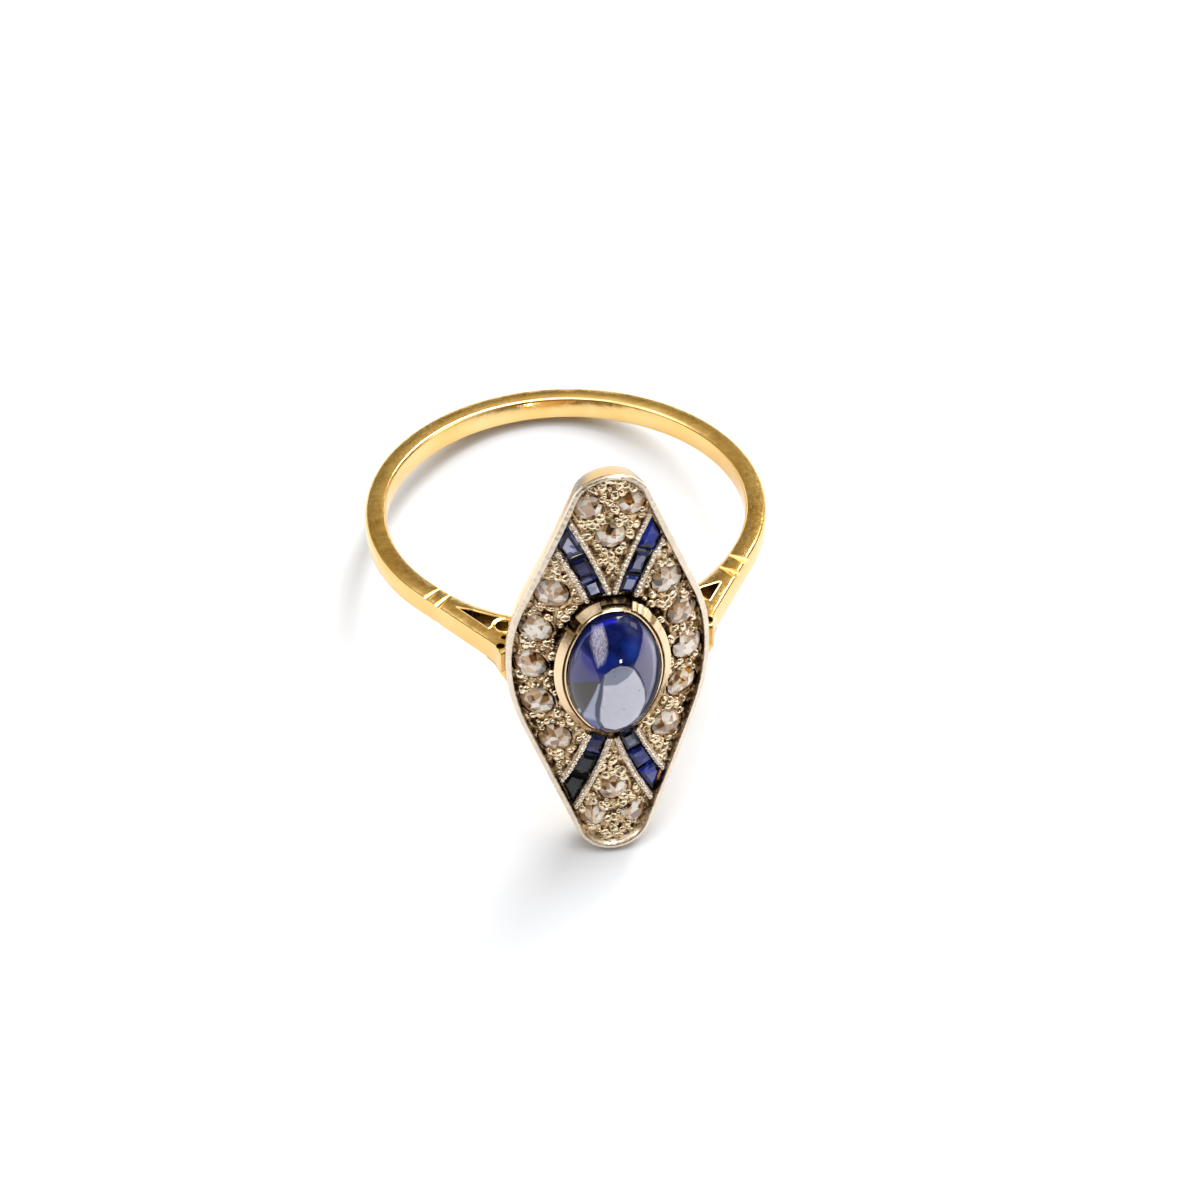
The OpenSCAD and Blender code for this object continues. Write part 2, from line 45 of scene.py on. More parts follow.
def lay(x, f, n, move=1.0):
    """From the ring to the floor: x goes across, f out from the finger to the head, n along the
    finger, in mm. The ring leans back by LEAN round X and is then moved; metres come out."""
    x, f, n = np.broadcast_arrays(x, f, n)
    back = n * math.sin(LEAN) - f * math.cos(LEAN) + move * SHIFT
    up = n * math.cos(LEAN) + f * math.sin(LEAN) + move * LIFT
    return np.stack([x, back, up], -1) * 0.001


AIM_X, AIM_N, ROLL = -0.1848, 0.6913, -0.0101
CAMERA_MM, AIM_F, SENSOR_MM = 166.4246, 12.0426, 36.0
# In the photo's pixels: its width, the focal length, and where the middle of the head is seen.
PHOTO_PX, FOCAL_PX, HEAD_PX = 1200, 3665.35, np.array([613.53, 670.13])
toward = np.array([math.sin(AIM_X) * math.cos(AIM_N), math.cos(AIM_X) * math.cos(AIM_N), math.sin(AIM_N)])
level = np.array([math.cos(AIM_X), -math.sin(AIM_X), 0.0])
rise = np.array([-math.sin(AIM_X) * math.sin(AIM_N), -math.cos(AIM_X) * math.sin(AIM_N), math.cos(AIM_N)])
right = math.cos(ROLL) * level + math.sin(ROLL) * rise
upward = -math.sin(ROLL) * level + math.cos(ROLL) * rise
place = np.array([0.0, AIM_F, 0.0]) + CAMERA_MM * toward
off_right, off_down = (PHOTO_PX / 2 - HEAD_PX) / FOCAL_PX
ahead = -toward + off_right * right - off_down * upward
ahead, upward = lay(*np.stack([ahead, upward], 1), move=0.0)
ahead /= np.linalg.norm(ahead)
right = np.cross(ahead, upward)
right /= np.linalg.norm(right)
upward = np.cross(right, ahead)
lens = bpy.data.cameras.new("photo_camera")
lens.sensor_width = SENSOR_MM
lens.lens = SENSOR_MM * FOCAL_PX / PHOTO_PX
lens.clip_start, lens.clip_end = 0.01, 5.0
camera = bpy.data.objects.new("photo_camera", lens)
turn = Matrix([list(v) for v in np.stack([right, upward, -ahead], 1)]).to_4x4()
camera.matrix_world = Matrix.Translation([float(v) for v in lay(*place)]) @ turn
bpy.context.collection.objects.link(camera)
bpy.context.scene.camera = camera

# The table: a white painted board, matt and a little uneven. Around it is a soft white room with
# a dark side behind the camera, which gives the polished metal and the dome something to mirror.


def linear(code):
    """A colour written as sRGB hex, turned to linear light."""
    v = np.array([int(code[i:i + 2], 16) for i in (1, 3, 5)]) / 255.0
    v = np.where(v <= 0.04045, v / 12.92, ((v + 0.055) / 1.055) ** 2.4)
    return (float(v[0]), float(v[1]), float(v[2]), 1.0)


def add(tree, kind, sockets=None, **settings):
    """Adds one node with its settings. Each socket gets a value, or a link from another node."""
    node = tree.nodes.new(kind)
    for name, value in settings.items():
        setattr(node, name, value)
    for name, value in (sockets or {}).items():
        if isinstance(value, bpy.types.NodeSocket):
            tree.links.new(value, node.inputs[name])
        else:
            node.inputs[name].default_value = value
    return node


def new_finish(name):
    """An empty material with its tree, its principled shader and its Object coordinates."""
    mat = bpy.data.materials.new(name)
    mat.use_nodes = True
    tree = mat.node_tree
    tree.nodes.clear()
    shader = add(tree, "ShaderNodeBsdfPrincipled")
    add(tree, "ShaderNodeOutputMaterial", {"Surface": shader.outputs["BSDF"]})
    return mat, tree, shader, add(tree, "ShaderNodeTexCoord").outputs["Object"]


painted, tree, shader, coords = new_finish("matt_white_paint")
shader.inputs["Roughness"].default_value = 0.75
grain = add(tree, "ShaderNodeTexNoise", {"Vector": coords, "Scale": 180.0, "Detail": 3.0})
tone = add(tree, "ShaderNodeMix", {0: grain.outputs[0], 6: linear("#CDCED1"), 7: linear("#D7D8DA")},
           data_type="RGBA")
tree.links.new(tone.outputs[2], shader.inputs["Base Color"])
board = bpy.data.meshes.new("table")
HALF = 0.8
board.from_pydata([(-HALF, -HALF, 0), (HALF, -HALF, 0), (HALF, HALF, 0), (-HALF, HALF, 0)], [],
                  [(0, 1, 2, 3)])
board.materials.append(painted)
table = bpy.data.objects.new("table", board)
bpy.context.collection.objects.link(table)


RING_MIDDLE = [0.0, 0.0, 0.008]


def lamp(name, azimuth, height, distance, size, glow, tall=1.0):
    """A soft light, aimed at the ring from a direction given in degrees: azimuth 0 is the viewer's
    side and 90 is the right. It is size metres wide and tall times as high, and its glow is how
    bright it looks in a mirror."""
    a, h = math.radians(azimuth), math.radians(height)
    way = np.array([math.sin(a) * math.cos(h), -math.cos(a) * math.cos(h), math.sin(h)])
    data = bpy.data.lights.new(name, "AREA")
    data.shape, data.size, data.size_y = "RECTANGLE", size, size * tall
    data.energy = glow * math.pi * size ** 2 * tall
    side = np.cross([0.0, 0.0, 1.0], way)
    side /= np.linalg.norm(side)
    obj = bpy.data.objects.new(name, data)
    turn = Matrix([list(v) for v in np.stack([side, np.cross(way, side), way], 1)]).to_4x4()
    obj.matrix_world = Matrix.Translation([float(v) for v in way * distance + RING_MIDDLE]) @ turn
    bpy.context.collection.objects.link(obj)


# The tall window behind the ring casts its shadow, the small spot makes the glint on the middle
# stone, and the others fill in softly.
lamp("window_lamp", 148, 45, 0.5, 0.18, 14.0, tall=2.7)
lamp("spot_lamp", 11, 8, 0.5, 0.022, 60.0)
lamp("left_lamp", -105, 40, 0.5, 0.24, 3.2)
lamp("right_lamp", 84, 30, 0.5, 0.18, 2.6)
lamp("ceiling_lamp", 170, 78, 0.6, 0.40, 1.8)

room = bpy.data.worlds.new("white_room")
room.use_nodes = True
bpy.context.scene.world = room
tree = room.node_tree
tree.nodes.clear()
way = add(tree, "ShaderNodeTexCoord").outputs["Generated"]
# How far a direction points to the dark side of the room, above and behind the camera.
DARK = np.array([-0.10, -0.72, 0.69])
dot = add(tree, "ShaderNodeVectorMath", {0: way, 1: tuple(DARK / np.linalg.norm(DARK))},
          operation="DOT_PRODUCT")
shade = add(tree, "ShaderNodeMapRange", {0: dot.outputs["Value"], 1: 0.64, 2: 0.88, 3: 1.45, 4: 0.12},
            interpolation_type="SMOOTHSTEP")
height = add(tree, "ShaderNodeSeparateXYZ", {0: way}).outputs["Z"]
high = add(tree, "ShaderNodeMapRange", {0: height, 1: 0.20, 2: 0.75}, interpolation_type="SMOOTHSTEP")
skirting = add(tree, "ShaderNodeMapRange", {0: height, 1: 0.04, 2: 0.24}, interpolation_type="SMOOTHSTEP")
low = add(tree, "ShaderNodeMix", {0: skirting.outputs[0], 6: linear("#584F36"), 7: linear("#8E8246")},
          data_type="RGBA")
walls = add(tree, "ShaderNodeMix", {0: high.outputs[0], 6: low.outputs[2], 7: linear("#F0F2F6")},
            data_type="RGBA")
# Furniture and people round the table: large soft patches, darker and lighter.
patches = add(tree, "ShaderNodeTexNoise", {"Vector": way, "Scale": 3.4, "Detail": 1.0})
clutter = add(tree, "ShaderNodeMapRange", {0: patches.outputs[0], 1: 0.38, 2: 0.62, 3: 0.5, 4: 1.3})
glow = add(tree, "ShaderNodeMath", {0: shade.outputs[0], 1: clutter.outputs[0]}, operation="MULTIPLY")
sky = add(tree, "ShaderNodeBackground", {"Color": walls.outputs[2], "Strength": glow.outputs[0]})
add(tree, "ShaderNodeOutputWorld", {"Surface": sky.outputs[0]})
bpy.context.scene.view_settings.view_transform = "Standard"
bpy.context.scene.view_settings.look = "None"

# The shank: a flat gold hoop that widens into two pierced shoulders, sawn and filed from one
# bar. A long slot, a round hole and two small holes are cut through each shoulder, the inner
# edges are bevelled toward the head, and two notches are filed across each side.
FINGER_R, HOOP_R, HOOP_W = 8.6, 9.6, 1.2
MEET_X, MEET_F = 4.75, 10.3302
LEAVE = math.atan2(MEET_X, MEET_F) + math.acos(HOOP_R / math.hypot(MEET_X, MEET_F))
SHOULDER = math.sqrt(MEET_X ** 2 + MEET_F ** 2 - HOOP_R ** 2)


def polished_gold(name, light, deep, dirt_and_shade, rough):
    """Eighteen carat gold with fine handling marks. The colour drifts a little between two alloys'
    tones over a few mm, scratches 0.05 mm wide catch the light, and soft dents bend it. Where the
    mesh's darkening attribute says so, the colour goes toward the dark one: kept dirt together with
    painted shade."""
    mat, tree, shader, coords = new_finish(name)
    drift = add(tree, "ShaderNodeTexNoise", {"Vector": coords, "Scale": 420.0, "Detail": 2.0})
    tone = add(tree, "ShaderNodeMix", {0: drift.outputs[0], 6: linear(light), 7: linear(deep)},
               data_type="RGBA")
    grime_and_shade = add(tree, "ShaderNodeAttribute", attribute_name="dirt_and_painted_shade")
    kept_dirt_and_shade = add(tree, "ShaderNodeMix", {0: grime_and_shade.outputs["Fac"], 6: tone.outputs[2], 7: linear(dirt_and_shade)},
               data_type="RGBA")
    tree.links.new(kept_dirt_and_shade.outputs[2], shader.inputs["Base Color"])
    scratch = add(tree, "ShaderNodeTexNoise", {"Vector": coords, "Scale": 9000.0, "Detail": 2.0})
    gloss = add(tree, "ShaderNodeMapRange",
                {0: scratch.outputs[0], 1: 0.3, 2: 0.7, 3: rough - 0.05, 4: rough + 0.08})
    tree.links.new(gloss.outputs[0], shader.inputs["Roughness"])
    dents = add(tree, "ShaderNodeTexNoise", {"Vector": coords, "Scale": 900.0, "Detail": 3.0})
    relief = add(tree, "ShaderNodeBump", {"Height": dents.outputs[0], "Strength": 0.3, "Distance": 0.00010})
    tree.links.new(relief.outputs[0], shader.inputs["Normal"])
    shader.inputs["Metallic"].default_value = 1.0
    return mat


yellow_gold = polished_gold("polished_yellow_gold", "#FBDB9E", "#E6B35C", "#34220A", 0.18)


def skin(name, rings, mat, nodes, wrap=False, sharp=35, dirt_and_painted_shade=None):
    """Rings of points become one closed piece. Neighbouring rings are joined by four-sided faces.
    The last ring joins the first when the piece wraps, or else each end is closed by a face. A
    further first axis gives many like parts in one mesh. Faces are turned outward by the sign of
    the volume that they enclose."""
    rings = rings if rings.ndim == 4 else rings[None]
    parts, rows, cols = rings.shape[:3]
    i, j = np.meshgrid(np.arange(rows if wrap else rows - 1), np.arange(cols), indexing="ij")
    after_i, after_j = (i + 1) % rows, (j + 1) % cols
    quads = np.stack([i * cols + j, after_i * cols + j, after_i * cols + after_j, i * cols + after_j], -1)
    quads = quads.reshape(-1, 4)
    starts = np.arange(parts)[:, None, None] * rows * cols
    faces = (quads[None] + starts).reshape(-1, 4)
    caps = np.empty((0, cols), int)
    if not wrap:
        first = np.arange(cols)
        caps = (np.stack([first, (rows - 1) * cols + first[::-1]])[None] + starts).reshape(-1, cols)
    return mesh_piece(name, rings.reshape(-1, 3), [faces, caps], mat, nodes, sharp, dirt_and_painted_shade)


def mesh_piece(name, points, groups, mat, nodes, sharp=35, dirt_and_painted_shade=None):
    """Points and groups of equal-sided faces become one piece that rides on the ring."""
    volume = 0.0
    for faces in groups:
        for s in range(1, faces.shape[1] - 1):
            a, b, c = points[faces[:, 0]], points[faces[:, s]], points[faces[:, s + 1]]
            volume += float((a * np.cross(b, c)).sum())
    groups = [g[:, ::-1] if volume < 0 else g for g in groups if len(g)]
    mesh = bpy.data.meshes.new(name)
    mesh.vertices.add(len(points))
    mesh.vertices.foreach_set("co", np.ascontiguousarray(points, np.float32).ravel())
    corners = np.concatenate([g.ravel() for g in groups])
    sizes = np.concatenate([np.full(len(g), g.shape[1]) for g in groups])
    mesh.loops.add(len(corners))
    mesh.loops.foreach_set("vertex_index", corners.astype(np.int32))
    mesh.polygons.add(len(sizes))
    mesh.polygons.foreach_set("loop_start", (np.cumsum(sizes) - sizes).astype(np.int32))
    mesh.polygons.foreach_set("use_smooth", np.full(len(sizes), sharp > 0))
    mesh.update(calc_edges=True)
    mesh.validate()
    if sharp > 0:
        mesh.set_sharp_from_angle(angle=math.radians(sharp))
    # The darkening attribute carries kept dirt together with painted shade in hollows.
    if dirt_and_painted_shade is not None:
        layer = mesh.attributes.new("dirt_and_painted_shade", "FLOAT", "POINT")
        layer.data.foreach_set("value", np.ascontiguousarray(dirt_and_painted_shade, np.float32).ravel())
    obj = bpy.data.objects.new(name, mesh)
    bpy.context.collection.objects.link(obj)
    if mat is not None:
        mesh.materials.append(mat)
        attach(obj, "root")
        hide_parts(*nodes)
    return obj


def on_shoulder(inward, along, side=1):
    """x and f of a place on a shoulder, measured in from its outer line and along it from where
    it leaves the hoop at a tangent."""
    x = (HOOP_R - inward) * math.sin(LEAVE) - along * math.cos(LEAVE)
    f = (HOOP_R - inward) * math.cos(LEAVE) + along * math.sin(LEAVE)
    return side * x, f


def flare(along):
    """How far a shoulder spreads outward over its last 1.3 mm, where it meets the head."""
    return 0.30 * np.clip((along - SHOULDER + 1.3) / 1.3, 0, 1) ** 2.2


def bevel_at(angle):
    """Depth of the bevel inside the shoulders at an angle from the middle of the head."""
    return np.clip(0.8 * np.cos(angle) - 0.32, 0.07, 0.4)


# The outer line of the shank from the right foot round the back to the left foot.
along = np.linspace(SHOULDER + 0.12, 0.0, 48)
side_x, side_f = on_shoulder(-flare(along), along)
FOOT_X, FOOT_F = [3.82, 4.3, 4.66], [9.85, 10.2, 10.42]
side_x, side_f = np.concatenate([FOOT_X, side_x]), np.concatenate([FOOT_F, side_f])
back = np.linspace(LEAVE, 2 * math.pi - LEAVE, 190)[1:-1]
outer_x = np.concatenate([side_x, HOOP_R * np.sin(back), -side_x[::-1]])
outer_f = np.concatenate([side_f, HOOP_R * np.cos(back), side_f[::-1]])
side_a = np.interp(np.arctan2(side_x, side_f), [math.atan2(MEET_X, MEET_F), LEAVE], [0.4585, LEAVE])
inner_a = np.concatenate([side_a, back, 2 * math.pi - side_a[::-1]])
bevel = np.maximum(bevel_at(inner_a), 0.13)
soft = 0.17
inner = np.stack([FINGER_R * np.sin(inner_a), FINGER_R * np.cos(inner_a)], -1)
outer = np.stack([outer_x, outer_f], -1)
unit = (outer - inner) / np.linalg.norm(outer - inner, axis=1, keepdims=True)
half = HOOP_W / 2
# Each corner: [1 on the outer line or 0 on the inner one, mm out of it, share of the bevel out of
# it, level along n, share of the bevel taken from that level]. The front half, then its mirror.
worn_in = [(0, 0, 0, half, -1), (0, 0, 0.06, half, -0.82), (0, 0, 0.24, half, -0.52),
           (0, 0, 0.52, half, -0.24), (0, 0, 0.82, half, -0.06), (0, 0, 1, half, 0)]
worn_out = [(1, soft * (math.sin(t) - 1), 0, half + soft * (math.cos(t) - 1), 0)
            for t in np.radians([0, 22.5, 45, 67.5, 90])]
section = worn_in + worn_out
section += [(line, out, share, -n, -share_n) for line, out, share, n, share_n in section[::-1]]
rows = []
for at_outer, out, share, n, share_n in section:
    start = outer if at_outer else inner
    spot = start + unit * (out + share * bevel)[:, None]
    rows.append(lay(spot[:, 0], spot[:, 1], n + share_n * bevel))
shank = skin("hoop_and_shoulders", np.stack(rows, 1), yellow_gold, ["gold_ring"], sharp=28)


def grimed_and_shaded(obj, much):
    """Gives each face of a piece its share of kept dirt and painted shade, which a sawn hole hands on
    to its walls.
    """
    layer = obj.data.attributes.new("dirt_and_painted_shade", "FLOAT", "FACE")
    layer.data.foreach_set("value", np.full(len(obj.data.polygons), much, np.float32))
    return obj


def cutter(x, f, dirt_and_shade=0.8, low=-1.2, high=1.2):
    """A prism along the finger, to saw a hole with, and the dirt and painted shade that its walls keep."""
    x, f = np.asarray(x, float), np.asarray(f, float)
    return grimed_and_shaded(skin("saw", np.stack([lay(x, f, low), lay(x, f, high)]), None, None, sharp=0), dirt_and_shade)


def ring_of(centre, radius, steps=40):
    """x and f of the edge of a round hole, from its centre and radius."""
    a = np.linspace(0, 2 * math.pi, steps, endpoint=False)
    return centre[0] + radius * np.cos(a), centre[1] + radius * np.sin(a)


SCROLL_IN, SCROLL_ALONG, SCROLL_R, RING_R = 1.19, SHOULDER - 1.27, 0.43, 0.57
LEAF_WALL, LEAF_END, LEAF_POINTS = 0.52, SCROLL_ALONG - 0.36, 30
saws, slot_edges = [], []
# The leaf slot starts at a point and widens along the hoop's inner wire up to the ring of the scroll.
for side, start in ((1, 2.95), (-1, 2.25)):
    s = np.linspace(start, LEAF_END, LEAF_POINTS)
    wire = HOOP_R - np.sqrt((FINGER_R + LEAF_WALL) ** 2 - s ** 2)
    leaf = LEAF_WALL + (wire - LEAF_WALL) * np.clip((s - start + 0.02) / 0.7, 0, 1) ** 0.6
    v = np.linspace(LEAF_WALL, wire[-1], 14)
    end = np.minimum(LEAF_END, SCROLL_ALONG - np.sqrt(np.clip(RING_R ** 2 - (v - SCROLL_IN) ** 2, 0, None)))
    x, f = on_shoulder(np.concatenate([np.full(LEAF_POINTS - 1, LEAF_WALL), v, leaf[:0:-1]]),
                       np.concatenate([s[:-1], end, s[:0:-1]]), side)
    slot_edges.append((x, f))
    # The walls of the slot and the holes are darkened: painted shade inside them, with dirt.
    saws.append(cutter(x, f))
    for inward, at, r in ((SCROLL_IN, SCROLL_ALONG, SCROLL_R), (0.62, SHOULDER - 0.64, 0.15),
                          (0.08, SHOULDER - 0.3, 0.2)):
        saws.append(cutter(*ring_of(on_shoulder(inward, at, side), r), dirt_and_shade=min(r * 1.9, 0.8)))
# The notches are filed with a round file held at a slant, so that they run out toward the finger.
NOTCHES = (51.0, 44.5, -52.5, -48.0)
out, file_r = np.array([[8.68], [11.4]]), np.array([[0.04], [0.85]])
file_turn = np.linspace(0, 2 * math.pi, 32, endpoint=False)
across = file_r * np.cos(file_turn)
for angle in NOTCHES:
    a = math.radians(angle)
    for face in (-1, 1):
        x = out * math.sin(a) + across * math.cos(a)
        f = out * math.cos(a) - across * math.sin(a)
        n = face * (half + file_r * (0.55 + np.sin(file_turn)))
        saws.append(grimed_and_shaded(skin("file", lay(x, f, n), None, None, sharp=0), 0))
grimed_and_shaded(shank, 0.0)
for saw in saws:
    step = shank.modifiers.new("sawn", "BOOLEAN")
    step.operation, step.solver, step.object = "DIFFERENCE", "EXACT", saw
bpy.context.view_layer.update()
sawn = bpy.data.meshes.new_from_object(shank.evaluated_get(bpy.context.evaluated_depsgraph_get()))
shank.modifiers.clear()
shank.data = sawn
sawn.set_sharp_from_angle(angle=math.radians(28))
for saw in saws:
    bpy.data.objects.remove(saw)

# The burnished edges of the piercing: a burnisher was rubbed round the sawn holes, and left a fine
# bead of the same gold standing round them on both faces of the shoulders.
turns = np.linspace(0, 2 * math.pi, 8, endpoint=False)
for number, side in enumerate((1, -1)):
    loops = [slot_edges[number], ring_of(on_shoulder(SCROLL_IN, SCROLL_ALONG, side), SCROLL_R + 0.04, 40)]
    for part, (x, f) in enumerate(loops):
        x, f = np.asarray(x), np.asarray(f)
        way = np.stack([np.roll(x, -1) - np.roll(x, 1), np.roll(f, -1) - np.roll(f, 1)], -1)
        way /= np.linalg.norm(way, axis=1, keepdims=True)
        r = 0.045 if part == 0 else 0.075
        over = r * np.cos(turns)
        tubes = []
        for face in (-half + 0.02, half - 0.02):
            tubes.append(lay(x[:, None] + over * way[:, 1:], f[:, None] - over * way[:, :1],
                             face + r * 0.9 * np.sin(turns)))
        skin("burnished_edge_%d_%d" % (number + 1, part + 1), np.stack(tubes), yellow_gold,
             ["gold_ring"], wrap=True)

# The feet of the shoulders: the gold of each one spreads along the side of the head in a hollow
# curve, and is soldered on there.
for number, side in enumerate((1, -1)):
    n = np.linspace(-2.3, -0.5, 24)
    full = 1 - np.clip((-0.6 - n) / 1.7, 0, 1)
    at = np.linspace(SHOULDER - 1.2, SHOULDER - 0.04, 20)
    x, f = on_shoulder(-flare(at), at, side)
    inmost = (4.42 - 0.055 * n ** 2)[:, None]
    reach = (np.abs(x) - inmost) * (full ** 1.6)[:, None]
    face = lay(side * (inmost + np.maximum(reach, 0.02)), f, n[:, None])
    rear = lay(side * (inmost - 0.04), f, n[:, None])
    skin("soldered_foot_%d" % (number + 1), np.concatenate([face, rear[:, ::-1]], 1), yellow_gold,
         ["gold_ring"])

# The head's gold wall and back: a strip of gold bent to the long boat shape, drawn in a little
# toward the finger, with a sheet soldered behind it that is drilled under every stone.
HEAD_L, HEAD_W, TIP_R, CORNER_R = 21.8, 9.5, 1.86, 9.8
# The front curves across, round an axis AXIS_F out from the finger's. Its middle is FRONT_F out.
AXIS_F, CURVE, FRONT_F = 3.04, 9.0, 12.04
TIP_N, CORNER_X = HEAD_L / 2 - TIP_R, HEAD_W / 2 - CORNER_R
FLANK_A = math.atan2(-TIP_N, CORNER_X) + math.acos((TIP_R - CORNER_R) / math.hypot(CORNER_X, TIP_N))
FLANK_K = TIP_N * math.sin(FLANK_A) + TIP_R
DEPTH, FLOOR_H, PLATE_BACK = 1.25, -0.45, -0.67


def navette(inset):
    """The outline of the head, set in by some mm: a round tip, a straight flank and a wide soft
    corner, mirrored twice. Each point moves in along its own normal."""
    a, b = np.linspace(math.pi / 2, FLANK_A, 26), np.linspace(FLANK_A, 0, 12)
    tip = np.stack([TIP_R * np.cos(a), TIP_N + TIP_R * np.sin(a), np.cos(a), np.sin(a)], -1)
    corner = np.stack([CORNER_X + CORNER_R * np.cos(b), CORNER_R * np.sin(b), np.cos(b), np.sin(b)], -1)
    s = np.linspace(0, 1, 30)[1:-1, None]
    quarter = np.concatenate([tip, tip[-1:] * (1 - s) + corner[:1] * s, corner])
    half_way = np.concatenate([quarter, quarter[-2::-1] * [1, -1, 1, -1]])
    whole = np.concatenate([half_way, half_way[-2:0:-1] * [-1, 1, -1, 1]])
    return whole[:, :2] - np.reshape(inset, (-1, 1)) * whole[:, 2:]


def front(x, h):
    """How far out the curved front of the head is at x, at a level h above or below it."""
    return AXIS_F + np.sqrt((CURVE + h) ** 2 - np.asarray(x) ** 2)


def half_width(n, inset):
    """Half the width of the head at a distance n from its middle, set in by some mm."""
    n = np.abs(n)
    r_tip, r_corner = TIP_R - inset, CORNER_R - inset
    round_tip = np.sqrt(np.clip(r_tip ** 2 - (n - TIP_N) ** 2, 0, None))
    straight = (FLANK_K - inset - n * math.sin(FLANK_A)) / math.cos(FLANK_A)
    soft_corner = CORNER_X + np.sqrt(np.clip(r_corner ** 2 - n ** 2, 0, None))
    return np.where(n > TIP_N + r_tip * math.sin(FLANK_A), round_tip,
                    np.where(n < r_corner * math.sin(FLANK_A), soft_corner, straight))


def edging(name, section, mat, nodes, dirt_and_shade=None, sharp=35):
    """A strip that follows the outline: each corner of its section is (inset, level) and is
    carried round the head. Dirt gives the share of kept dirt and painted shade that each corner keeps."""
    rows = []
    for inset, h in section:
        p = navette(inset)
        rows.append(lay(p[:, 0], front(p[:, 0], h), p[:, 1]))
    kept_dirt_and_shade = None if dirt_and_shade is None else np.reshape(dirt_and_shade, (len(section), -1)) + np.zeros(len(p))
    return skin(name, np.stack(rows), mat, nodes, wrap=True, sharp=sharp, dirt_and_painted_shade=kept_dirt_and_shade)


taper = 0.3 / 1.26
# Painted shade and painted dark reflections darken the wall on each side of its two round ends,
# and a little all over its upper end.
outline = navette(0.0)
tarnish_and_shade = 0.55 * np.exp(-((np.abs(outline[:, 0]) - 1.45) / 0.4) ** 2) * (np.abs(outline[:, 1]) > 8.5)
tarnish_and_shade += np.where(outline[:, 1] > 8.5, 0.3, 0.04)
edging("head_wall", [(0.03, -0.185), (0.0, -0.215), (taper * 0.4, -0.6), (taper * 0.8, -0.95),
                     (taper + 0.04, -DEPTH + 0.05), (taper + 0.08, -DEPTH),
                     (0.52, -DEPTH), (0.52, -0.72), (0.26, -0.70), (0.25, -0.185)],
       yellow_gold, ["gold_ring"], np.ones((10, 1)) * tarnish_and_shade)

# The places of the stones: [x, n, radius], fans at the tips and five along each flank.
flank_n = np.arange(2, -3, -1) * 2.12
flank_x = half_width(flank_n, 1.11)
fan = np.array([[-0.97, 9.04, 0.65], [0.97, 9.04, 0.65], [0.0, 7.4, 0.72]])
flank = np.stack([flank_x, flank_n, np.full(5, 0.8)], -1)
diamonds = np.concatenate([fan, flank * [-1, 1, 1], flank, fan * [1, -1, 1]])
# One row of calibre stones: its cross lines, from the collet outward to the rim.
lean = np.radians(20 + 3.5 * np.arange(3))
row_dir = np.stack([np.sin(lean), np.cos(lean)], -1)
row = [np.array([0.62, 6.86 / 2 + 0.5 + 0.03 + 0.12])]
row.append(row[0] + row_dir[0] * 1.13)
row.append(row[1] + row_dir[1] * 1.33)
face_out = np.array([math.cos(FLANK_A), math.sin(FLANK_A)])
face_way = np.array([-face_out[1], face_out[0]])
row.append(row[2] + row_dir[2] * (FLANK_K - 0.38 - row[2] @ face_out) / (row_dir[2] @ face_out))
row = np.array(row)
row_w = np.array([0.76, 0.84, 0.92, 1.0])


def row_edge(side, out):
    """One long edge of a row of calibre stones, moved out by some mm, as four corners."""
    across = np.stack([row_dir[:, 1], -row_dir[:, 0]], -1) * (row_w[:3, None] / 2 + out)
    last = -face_way * (row_w[3] / 2 + out) / (row_dir[2, 0] * face_way[1] - row_dir[2, 1] * face_way[0])
    return row + side * np.concatenate([across, last[None]])


def inside_rows(x, n, out):
    """True inside the channels of the four rows, each moved out by some mm."""
    x, n = np.abs(x), np.abs(n)
    a, b = row_edge(-1, out), row_edge(1, out)
    a[0], b[0] = a[0] - out * row_dir[0], b[0] - out * row_dir[0]
    a[3], b[3] = a[3] + out * row_dir[2], b[3] + out * row_dir[2]
    corners = np.concatenate([a, b[::-1]])
    inside = np.zeros(x.shape, bool)
    for p, q in zip(corners, np.roll(corners, -1, 0)):
        hit = ((p[1] > n) != (q[1] > n)) & (x < (q[0] - p[0]) * (n - p[1]) / (q[1] - p[1] + 1e-12) + p[0])
        inside ^= hit
    return inside


OVAL_R, CAB_L, CAB_W = 1.6, 6.86, 4.4
OVAL_N = CAB_L / 2 - OVAL_R
OVAL_SIDE = (OVAL_N ** 2 + (CAB_W / 2) ** 2 - OVAL_R ** 2) / (CAB_W - 2 * OVAL_R)
OVAL_X = OVAL_SIDE - CAB_W / 2


def oval(angle, out):
    """The oval of the middle stone, set out by some mm: two wide side arcs and two round ends. The
    angle is that of the outline's own normal."""
    a = np.abs(np.mod(angle + math.pi, 2 * math.pi) - math.pi)
    q = np.where(a > math.pi / 2, math.pi - a, a)
    end = q > math.atan2(OVAL_N, OVAL_X)
    x = np.where(end, (OVAL_R + out) * np.cos(q), (OVAL_SIDE + out) * np.cos(q) - OVAL_X)
    n = np.where(end, OVAL_N + (OVAL_R + out) * np.sin(q), (OVAL_SIDE + out) * np.sin(q))
    return np.where(a > math.pi / 2, -x, x), np.where(np.mod(angle, 2 * math.pi) > math.pi, -n, n)


def oval_out(x, n):
    """How far a place is outside the oval of the middle stone, in mm."""
    x, n = np.abs(x), np.abs(n)
    past_end = np.hypot(x, n - OVAL_N) - OVAL_R
    past_side = np.hypot(x + OVAL_X, n) - OVAL_SIDE
    return np.where(np.arctan2(n, x + OVAL_X) > math.atan2(OVAL_N, OVAL_X), past_end, past_side)


HOLE_SHARE = 0.56


